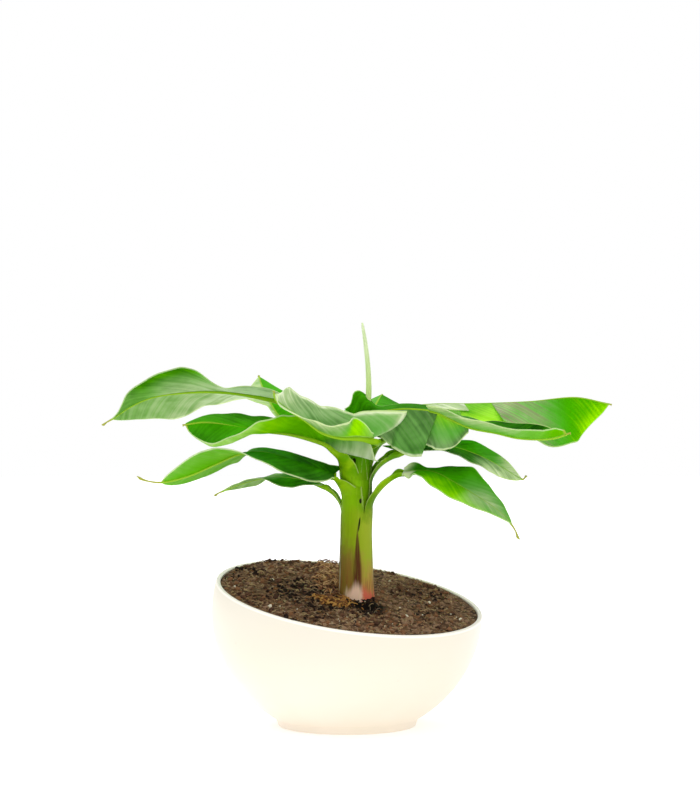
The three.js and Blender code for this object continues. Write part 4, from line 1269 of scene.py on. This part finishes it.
def blade_pattern():
    """Makes the node group with a blade's veins, rib, edge and blotches, from what its corners carry."""
    group = bpy.data.node_groups.new("blade pattern", "ShaderNodeTree")
    for name, kind in (("Blade", "Vector"), ("Shade", "Vector"), ("Where", "Vector")):
        group.interface.new_socket(name, in_out="INPUT", socket_type="NodeSocket" + kind)
    for name in ("Tone", "Bloom_and_glare", "Stripe", "Rib", "Edge", "Mark", "Relief"):
        group.interface.new_socket(name, in_out="OUTPUT", socket_type="NodeSocketFloat")
    given = group.nodes.new("NodeGroupInput").outputs
    handed = group.nodes.new("NodeGroupOutput").inputs
    along, across, inward = parts_of(group, given["Blade"])
    tone, bloom_and_glare, mark = parts_of(group, given["Shade"])
    run = reckoned(group, "MULTIPLY_ADD", across, -VEIN_LEAN, along)
    slow = reckoned(group, "SINE", reckoned(group, "MULTIPLY", run, VEIN_DRIFT))
    slow = reckoned(group, "MULTIPLY", slow, VEIN_SWAY)
    pleat = reckoned(group, "SINE", reckoned(group, "MULTIPLY_ADD", run, VEIN_PITCH, slow))
    outward = reckoned(group, "MULTIPLY", across, 0.02)
    drawn = place(group, "ShaderNodeCombineXYZ", {0: run, 1: outward}).outputs[0]
    fine = noisy(group, drawn, 0.9, 3, 0.6)
    broad = noisy(group, drawn, 0.11, 3)
    cloud = noisy(group, given["Where"], 42, 3)
    swell = reckoned(group, "MULTIPLY_ADD", broad, 1.3, -0.15)
    stripe = reckoned(group, "MULTIPLY_ADD", pleat, 0.07, swell)
    group.links.new(stripe, handed["Stripe"])
    shift = reckoned(group, "MULTIPLY_ADD", stripe, 0.26, -0.13)
    shift = reckoned(group, "ADD", shift, reckoned(group, "MULTIPLY_ADD", cloud, 0.36, -0.18))
    shift = reckoned(group, "ADD", shift, reckoned(group, "MULTIPLY_ADD", fine, 0.14, -0.07))
    group.links.new(reckoned(group, "ADD", tone, shift), handed["Tone"])
    # Bloom lies in streaks and clouds, both the pale wax and the painted glare and sheen on a blade.
    streaks = stepped(group, reckoned(group, "MULTIPLY_ADD", cloud, 0.35, broad), 0.56, 0.8)
    veil = reckoned(group, "MULTIPLY_ADD", streaks, 0.4, reckoned(group, "MULTIPLY_ADD", cloud, 0.7, 0.15))
    group.links.new(reckoned(group, "MULTIPLY", bloom_and_glare, veil), handed["Bloom_and_glare"])
    reach = stepped(group, along, 0, 220, RIB_HALF_WIDTH, 0.5)
    group.links.new(stepped(group, reckoned(group, "SUBTRACT", across, reach), 0.5, -0.3), handed["Rib"])
    group.links.new(stepped(group, inward, 1.8, 0.6), handed["Edge"])
    group.links.new(reckoned(group, "MULTIPLY", mark, stepped(group, stripe, 0.42, 0.58)), handed["Mark"])
    veins = reckoned(group, "MULTIPLY_ADD", fine, 1.0, reckoned(group, "MULTIPLY", pleat, 0.15))
    group.links.new(veins, handed["Relief"])
    return group


pattern_group = blade_pattern()


def let_through(tree, shader, share, inputs):
    """Mixes in a share of light that comes through from behind, its colour and normal given as inputs."""
    through = place(tree, "ShaderNodeBsdfTranslucent", inputs)
    both = place(tree, "ShaderNodeMixShader", {0: share, 1: shader.outputs[0], 2: through.outputs[0]})
    tree.links.new(both.outputs[0], tree.nodes["Material Output"].inputs["Surface"])


def blade_finish(name, worn, tints, roughness, glow, glow_share):
    """One side of a blade, its tones and bloom read from the vectors stored under the name worn, painted
    light and shade among them.

    tints: its greens from dark to bright, the pale veil of wax and painted sheen and the near white of
    painted glare over them, its rib and its edge.
    glow: the colour that light takes on as it comes through, and glow_share: how much of it does.
    """
    material, tree, shader = new_finish(name, roughness, LEAF_GLOSS)
    blade, shade, spot = (noted(tree, layer) for layer in ("blade", worn, "place"))
    where = own_place(tree)
    mask = grouped(tree, pattern_group, {"Blade": blade, "Shade": shade, "Where": where})
    # Greens from dark to bright by tone, painted shade and light among them; then the pale veil and the near
    # white of painted glare where the bloom is strong.
    tint = mixed(tree, stepped(tree, mask["Tone"], 0, 0.5), tints["deep"], tints["middle"])
    tint = mixed(tree, stepped(tree, mask["Tone"], 0.5, 1), tint, tints["bright"])
    tint = mixed(tree, mask["Bloom_and_glare"], tint, tints["veil"])
    tint = mixed(tree, stepped(tree, mask["Bloom_and_glare"], 0.9, 2.1), tint, tints["glare_white"])
    tint = mixed(tree, mask["Mark"], tint, rgb(150, 112, 112))
    tint = mixed(tree, reckoned(tree, "MULTIPLY", mask["Edge"], 0.75), tint, tints["edge"])
    tip, line, _ = parts_of(tree, spot)
    ribbed = reckoned(tree, "MULTIPLY", mask["Rib"], reckoned(tree, "MULTIPLY", line, 0.8))
    tint = mixed(tree, ribbed, tint, tints["rib"])
    tint = mixed(tree, stepped(tree, tip, 0.985, 1), tint, rgb(196, 208, 84))
    tree.links.new(tint, shader.inputs["Base Color"])
    normal = raised(tree, shader, mask["Relief"], 0.35, 0.5 * MM)
    glowing = mixed(tree, 1.0, tint, glow, "MULTIPLY")
    let_through(tree, shader, glow_share, {"Color": glowing, "Normal": normal})
    return material


upper_side = blade_finish(
    "leaf upper side",
    worn="shade",
    tints={
        "deep": rgb(16, 76, 0),
        "middle": rgb(78, 182, 0),
        "bright": rgb(184, 246, 0),
        "veil": rgb(190, 214, 160),
        "glare_white": rgb(238, 244, 222),
        "rib": rgb(160, 210, 60),
        "edge": rgb(206, 230, 150),
    },
    roughness=0.45,
    glow=(1.0, 1.1, 0.1, 1),
    glow_share=0.3,
)
under_side = blade_finish(
    "leaf underside",
    worn="below",
    tints={
        "deep": rgb(42, 114, 0),
        "middle": rgb(112, 198, 0),
        "bright": rgb(198, 250, 4),
        "veil": rgb(196, 214, 164),
        "glare_white": rgb(238, 244, 222),
        "rib": rgb(180, 220, 100),
        "edge": rgb(224, 238, 190),
    },
    roughness=0.6,
    glow=(1.0, 1.1, 0.12, 1),
    glow_share=0.4,
)

for name, leaf in LEAVES.items():
    parts = [blade_part(name + "_part", leaf, half, hand) for half, hand in halves(leaf)]
    for part in parts:
        part.select_set(True)
    bpy.context.view_layer.objects.active = parts[0]
    bpy.ops.object.join()
    blade = bpy.context.object
    blade.name = name + "_blade"
    blade.data.materials.append(upper_side)
    blade.data.materials.append(under_side)
    underneath = {"material_offset": 1, "material_offset_rim": 1}
    finish_with(blade, "SOLIDIFY", thickness=BLADE_THICKNESS, offset=-1, **underneath)
    bpy.ops.object.shade_smooth()
    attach(blade, "root")
    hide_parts(name)
    bpy.ops.object.select_all(action="DESELECT")

# ---- the leaf stalks ----
# Each leaf's sheath wraps the stem, narrows into a grooved juicy stalk, bends over and runs on as the
# blade's midrib, ever thinner, to a dry thread at its tip. Older leaves lie outside younger ones.

SECTION_OUTSIDE = 20  # cells round the outside of a stalk
SECTION_INSIDE = 14
SHEATH_SKIN = 1.3  # thickness of a sheath at its keel, mm

# Heights and sizes in mm. root: where it leaves the stem, rise: how far it follows it before it bends,
# size: its radius near the stem and at the blade, wrap: degrees that the sheath reaches round to each side
# of its keel at heights, over: how far it lies outside the stem's core, age: how dry its margin is,
# approach: how far before the blade it already runs along the midrib, as a share of the way from the stem,
# sink: how deep the midrib's middle lies under the foot of the blade, of its radius.
STALKS = {
    "leaf_01": {"root": 300, "rise": 16, "size": (6, 4.4), "over": 0.2, "wrap": [[270, 50], [300, 40]]},
    "leaf_02": {"root": 262, "rise": 18, "size": (11, 4.2), "over": 0.9, "sink": 0.2,
                "wrap": [[200, 88], [262, 62]]},
    "leaf_03": {"root": 252, "rise": 9, "size": (6.5, 4.2), "over": 1.8, "sink": 1.2, "approach": 0.12,
                "wrap": [[150, 100], [214, 93], [240, 88], [252, 84]]},
    "leaf_04": {"root": 232, "rise": 18, "size": (6.5, 3), "over": 2.4, "age": 1, "approach": 0.12,
                "wrap": [[140, 44], [200, 42], [232, 34]]},
    "leaf_05": {"root": 300, "rise": 22, "size": (5.5, 3.4), "over": 0.2, "wrap": [[270, 50], [296, 40]]},
    "leaf_06": {"root": 296, "rise": 6, "size": (5.5, 3.8), "over": 0.2, "wrap": [[270, 50], [296, 40]]},
    "leaf_07": {"root": 304, "rise": 12, "size": (5.5, 3.8), "over": 0.2, "wrap": [[280, 50], [304, 40]]},
    "leaf_08": {"root": 300, "rise": 14, "size": (6, 3.8), "over": 0.2, "wrap": [[270, 50], [300, 40]]},
    "leaf_09": {"root": 264, "rise": 18, "size": (9, 4.4), "over": 1.2, "approach": 0.25,
                "wrap": [[180, 80], [235, 66], [264, 50]]},
    "leaf_10": {"root": 239, "rise": 15, "size": (8, 3.6), "over": 2.0, "approach": 0.22,
                "wrap": [[150, 62], [214, 52], [238, 36]]},
    "leaf_11": {"root": 298, "rise": 14, "size": (6, 3.4), "over": 0.2, "wrap": [[270, 50], [298, 40]]},
    "leaf_12": {"root": 262, "rise": 20, "size": (7, 3.2), "over": 0.9, "wrap": [[200, 76], [262, 52]]},
}
SHEATH_FOOT = 132
STALK_TURNS = [0, 0.35, 0.7, 1]  # shares of the bend at which a stalk's size and section are given
SHEATH_STEPS = 30
BEND_STEPS = 30
RIB_STEPS = 70
THREAD_STEPS = 14
RIB_SINK = 0.95  # sink of a stalk that has none of its own
APPROACH = 0.4  # approach of a stalk that has none of its own
THREAD_RADIUS = 1.1
KNOB_RADIUS = 1.5  # of the dry knob near the end of the thread


def keels(leaf, places, along):
    """The way that a midrib bulges out below the blade: half way between its two halves' undersides."""
    side, over = frames(along)
    leans = []
    for key in ("left", "right"):
        parts = torn_parts(leaf[key])
        starts = [part.get("span", (0, 1))[0] for part in parts]
        lean = np.zeros(len(places))
        for part, start, end in zip(parts, starts, [*starts[1:], 2]):
            lean = np.where((places >= start) & (places < end), keyed(part["angle"], places), lean)
        leans.append(np.radians(lean)[:, None])
    down = side * (np.sin(leans[1]) - np.sin(leans[0])) - over * (np.cos(leans[0]) + np.cos(leans[1]))
    return down / np.linalg.norm(down, axis=1)[:, None]


def sheath_stations(made, aim):
    """Sections of the sheath round the stem, from its foot up to where the stalk leaves the stem."""
    low = max(SHEATH_FOOT, made["root"] - 130) if made["root"] < 270 else made["root"] - 25
    heights = np.linspace(low, made["root"], SHEATH_STEPS)
    wraps = np.interp(heights, *zip(*made["wrap"]))
    radii = stem_size(heights) + made["over"] + SHEATH_SKIN * 0.4
    axis = np.stack([stem_axis(heights), 0 * heights, heights], axis=1)
    side = np.cross(aim, (0, 0, 1))
    return [(axis[k], aim, side, radii[k], wraps[k], SHEATH_SKIN, 0) for k in range(SHEATH_STEPS)]


def bend_stations(leaf, made, aim, below):
    """Sections of the free stalk, from the sheath's last one below it in a bend to the blade's foot."""
    thick, thin = made["size"]
    stem_middle, _, _, stem_radius, last_wrap, _, _ = below
    start = stem_middle + aim * stem_radius
    end_at, end_along, _ = spline(leaf["rib"], [0.0])
    end_keel = keels(leaf, np.zeros(1), end_along)[0]
    end = end_at[0] + end_keel * thin * (1 + made.get("sink", RIB_SINK))
    reach = np.linalg.norm(end - start) * made.get("approach", APPROACH)
    line = np.array([start, start + np.array([0, 0, made["rise"]]), end - end_along[0] * reach, end])
    sizes = [stem_radius, (stem_radius + thick) / 2, 0.9 * thick, thin]
    low_width = sizes[0] * math.sin(math.radians(min(last_wrap, 90)))
    high_width = sizes[2] * math.sin(math.radians(80))
    middle_wrap = math.degrees(math.asin(min(0.97, (low_width + high_width) / 2 / sizes[1])))
    wraps = [last_wrap, middle_wrap, 80, 150]
    skins = [SHEATH_SKIN, 0.25 * thick, 0.5 * thick, 0.8 * thin]
    stations = []
    for t in np.linspace(0, 1, BEND_STEPS + 1)[1:]:
        rest = 1 - t
        keel = np.array([rest**3, 3 * t * rest**2, 3 * t * t * rest, t**3]) @ line
        slopes = [-3 * rest**2, 3 * rest**2 - 6 * t * rest, 6 * t * rest - 3 * t * t, 3 * t * t]
        along = np.array(slopes) @ line
        along /= np.linalg.norm(along)
        level = np.array([along[0], along[1], 0]) + aim * 0.2 * rest
        side = np.cross(level, (0, 0, 1))
        side /= np.linalg.norm(side)
        out = np.cross(along, side)
        out /= np.linalg.norm(out)
        out += (end_keel - out) * np.clip((t - 0.4) / 0.6, 0, 1) ** 2
        out -= along * (out @ along)
        out /= np.linalg.norm(out)
        radius, wrap, skin = (np.interp(t, STALK_TURNS, values) for values in (sizes, wraps, skins))
        stations.append((keel - out * radius, out, np.cross(out, along), radius, wrap, skin, t))
    return stations


def rib_stations(leaf, made):
    """Sections of the midrib under the blade and of the dry thread that it ends in."""
    thin, thread, knob = made["size"][1], THREAD_RADIUS, KNOB_RADIUS
    fork = 1 - leaf["thread"]
    under_blade = np.linspace(0, fork, RIB_STEPS + 1)[1:]
    share = np.concatenate([under_blade, np.linspace(fork, 1, THREAD_STEPS + 1)[1:]])
    points, along, _ = spline(leaf["rib"], share)
    down = keels(leaf, share / fork, along)
    radii = [thin, thin * 0.7, thin * 0.45, thin * 0.25, thread]
    stations = []
    for k, at in enumerate(share):
        body = at / fork
        radius = np.interp(body, [0, 0.08, 0.3, 0.7, 1], radii)
        if body > 1:
            past = (at - 1) / leaf["thread"] + 1
            radius = np.interp(past, [0, 0.5, 0.86, 1], [thread, 0.8, knob, 0.5])
        middle = points[k] + down[k] * radius * np.interp(body, [0, 0.3], [made.get("sink", RIB_SINK), 1])
        zone = min(body, 1) + 1 + (body > 1)
        stations.append((middle, down[k], np.cross(down[k], along[k]), radius, 168, radius * 0.96, zone))
    return stations


def stalk_stations(leaf, made):
    """All sections of a stalk, from the sheath's foot to the end of the thread.

    Each has its middle, its outward and its sideways direction, its radius, how far it wraps round and how
    thick its skin is. Last comes its zone: 0 on the stem, 1 at the blade's foot, 2 at its end, 3 beyond.
    """
    aim = np.array(leaf["rib"][1], float) - (stem_axis(made["root"]), 0, 0)
    aim[2] = 0
    aim /= np.linalg.norm(aim)
    sheath = sheath_stations(made, aim)
    return sheath + bend_stations(leaf, made, aim, sheath[-1]) + rib_stations(leaf, made)


def stalk_piece(name, leaf, made):
    """A stalk's closed skin, rolled up from a flat grid."""
    stations = stalk_stations(leaf, made)
    columns = SECTION_OUTSIDE + SECTION_INSIDE + 2
    piece, row, column = leaf_grid(name, len(stations) - 1, columns)
    outer = np.linspace(-1, 1, SECTION_OUTSIDE + 1)
    inner = np.linspace(1, -1, SECTION_INSIDE + 1)
    turns = np.concatenate([outer, inner, [-1]])
    depth = np.concatenate([0 * outer, 1 + 0 * inner, [0]])
    points = np.empty((len(stations), columns + 1, 3))
    for k, (middle, out, side, radius, wrap, skin, _) in enumerate(stations):
        angle = np.radians(wrap * turns)
        thin_edge = 1 - 0.65 * np.abs(turns) ** 5 if wrap < 140 else 1
        hold = (radius - depth * skin * thin_edge)[:, None]
        points[k] = middle + hold * (np.cos(angle)[:, None] * out + np.sin(angle)[:, None] * side)
    piece.data.vertices.foreach_set("co", (points[row, column] * MM).ravel())
    zone = np.array([station[6] for station in stations])[row]
    note(piece, "stalk", np.stack([zone, np.abs(turns)[column], 0 * zone], axis=1))
    bpy.ops.object.mode_set(mode="EDIT")
    bpy.ops.mesh.select_all(action="SELECT")
    bpy.ops.mesh.remove_doubles(threshold=0.004 * MM)
    bpy.ops.mesh.fill_holes(sides=0)
    face_outwards()
    bpy.ops.object.shade_smooth_by_angle(angle=math.radians(50))
    return piece


def stalk_finish(name, age):
    """A stalk's skin: sheath colours on the stem, fresh green out to the blade, pale along the midrib."""
    material, tree, shader = new_finish(name, 0.45, 0.06)
    where = own_place(tree)
    height = parts_of(tree, where)[2]
    zone, edge, _ = parts_of(tree, noted(tree, "stalk"))
    dry = reckoned(tree, "MULTIPLY", stepped(tree, edge, 0.8, 0.96), age)
    dry = reckoned(tree, "MULTIPLY", dry, stepped(tree, zone, 0.3, 0))
    sheathed = grouped(tree, sheath_group, {"Place": where, "Age": dry})
    cloud = noisy(tree, where, 70, 3)
    fresh = mixed(tree, stepped(tree, cloud, 0.35, 0.65), rgb(108, 168, 0), rgb(150, 196, 14))
    tint = mixed(tree, stepped(tree, zone, 0.1, 0.55), sheathed["Colour"], fresh)
    tint = mixed(tree, stepped(tree, zone, 0.85, 1.15), tint, rgb(146, 194, 30))
    tint = mixed(tree, stepped(tree, zone, 1.1, 1.9), tint, rgb(162, 206, 52))
    fresh_rim = stepped(tree, zone, 0.9, 0.4, 0, stepped(tree, height, 0.235, 0.255))
    rim = reckoned(tree, "MULTIPLY", stepped(tree, edge, 0.88, 0.98), fresh_rim)
    tint = mixed(tree, reckoned(tree, "MULTIPLY", rim, 0.5), tint, rgb(206, 216, 140))
    tint = mixed(tree, stepped(tree, zone, 2.2, 2.8), tint, rgb(178, 182, 76))
    tree.links.new(tint, shader.inputs["Base Color"])
    raised(tree, shader, sheathed["Streaks"], 0.3, 0.4 * MM)
    let_through(tree, shader, 0.2, {"Color": tint})
    return material


fresh_skin = stalk_finish("stalk skin", 0.0)
dry_skin = stalk_finish("stalk skin with dry margin", 1.0)
for name, made in STALKS.items():
    stalk = stalk_piece(name.replace("leaf", "stalk") + "_skin", LEAVES[name], made)
    stalk.data.materials.append(dry_skin if made.get("age") else fresh_skin)
    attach(stalk, "root")
    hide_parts(name.replace("leaf", "stalk"))
    bpy.ops.object.select_all(action="DESELECT")

# ---- the spear ----
# The next leaf, still rolled up tight like a paper cone and standing nearly upright over the crown.
# It is one soft sheet wound round itself, very pale and finely streaked along its length.

SPEAR_LINE = [
    (13, 0, 322), (18, 9, 340), (23.5, 17, 360), (23.8, 20, 392), (20.6, 20, 425), (17, 20, 448),
]
SPEAR_SIZE = [[0, 4.5], [0.3, 3.1], [0.8, 2.1], [0.96, 1.3], [1, 0.5]]
SPEAR_ROLL = 1.35  # turns that the blade is rolled through
SPEAR_ROWS = 90
SPEAR_COLUMNS = 44

spear, row, column = leaf_grid("spear_roll", SPEAR_ROWS, SPEAR_COLUMNS)
places = np.linspace(0, 1, SPEAR_ROWS + 1)
middle, along, _ = spline(SPEAR_LINE, places)
side = np.cross(along, (0, 1, 0))
side /= np.linalg.norm(side, axis=1)[:, None]
front = np.cross(along, side)
round_it = np.linspace(0, 1, SPEAR_COLUMNS + 1)[None, :]
angle = 2 * np.pi * SPEAR_ROLL * round_it + 0.6 + 2.2 * places[:, None]
hold = np.interp(places, *zip(*SPEAR_SIZE))[:, None] * (0.74 + 0.26 * round_it)
outward = np.cos(angle)[:, :, None] * side[:, None] + np.sin(angle)[:, :, None] * front[:, None]
points = middle[:, None] + hold[:, :, None] * outward
spear.data.vertices.foreach_set("co", (points[row, column] * MM).ravel())
finish_with(spear, "SOLIDIFY", thickness=0.5 * MM, offset=-1)
bpy.ops.object.mode_set(mode="EDIT")
face_outwards()
bpy.ops.object.shade_smooth_by_angle(angle=math.radians(50))

young, tree, shader = new_finish("young leaf", 0.4, 0.3)
where = own_place(tree)
height = parts_of(tree, where)[2]
drawn = place(tree, "ShaderNodeMapping", {"Vector": where, "Scale": (1, 1, 0.06)}).outputs[0]
fine = noisy(tree, drawn, 700, 3)
tint = mixed(tree, stepped(tree, height, 0.36, 0.44), rgb(230, 250, 168), rgb(242, 252, 214))
tint = mixed(tree, stepped(tree, fine, 0.45, 0.7, 0, 0.3), tint, rgb(196, 230, 130))
tree.links.new(tint, shader.inputs["Base Color"])
raised(tree, shader, fine, 0.3, 0.3 * MM)
let_through(tree, shader, 0.35, {"Color": tint})
spear.data.materials.append(young)
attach(spear, "root")
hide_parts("spear")
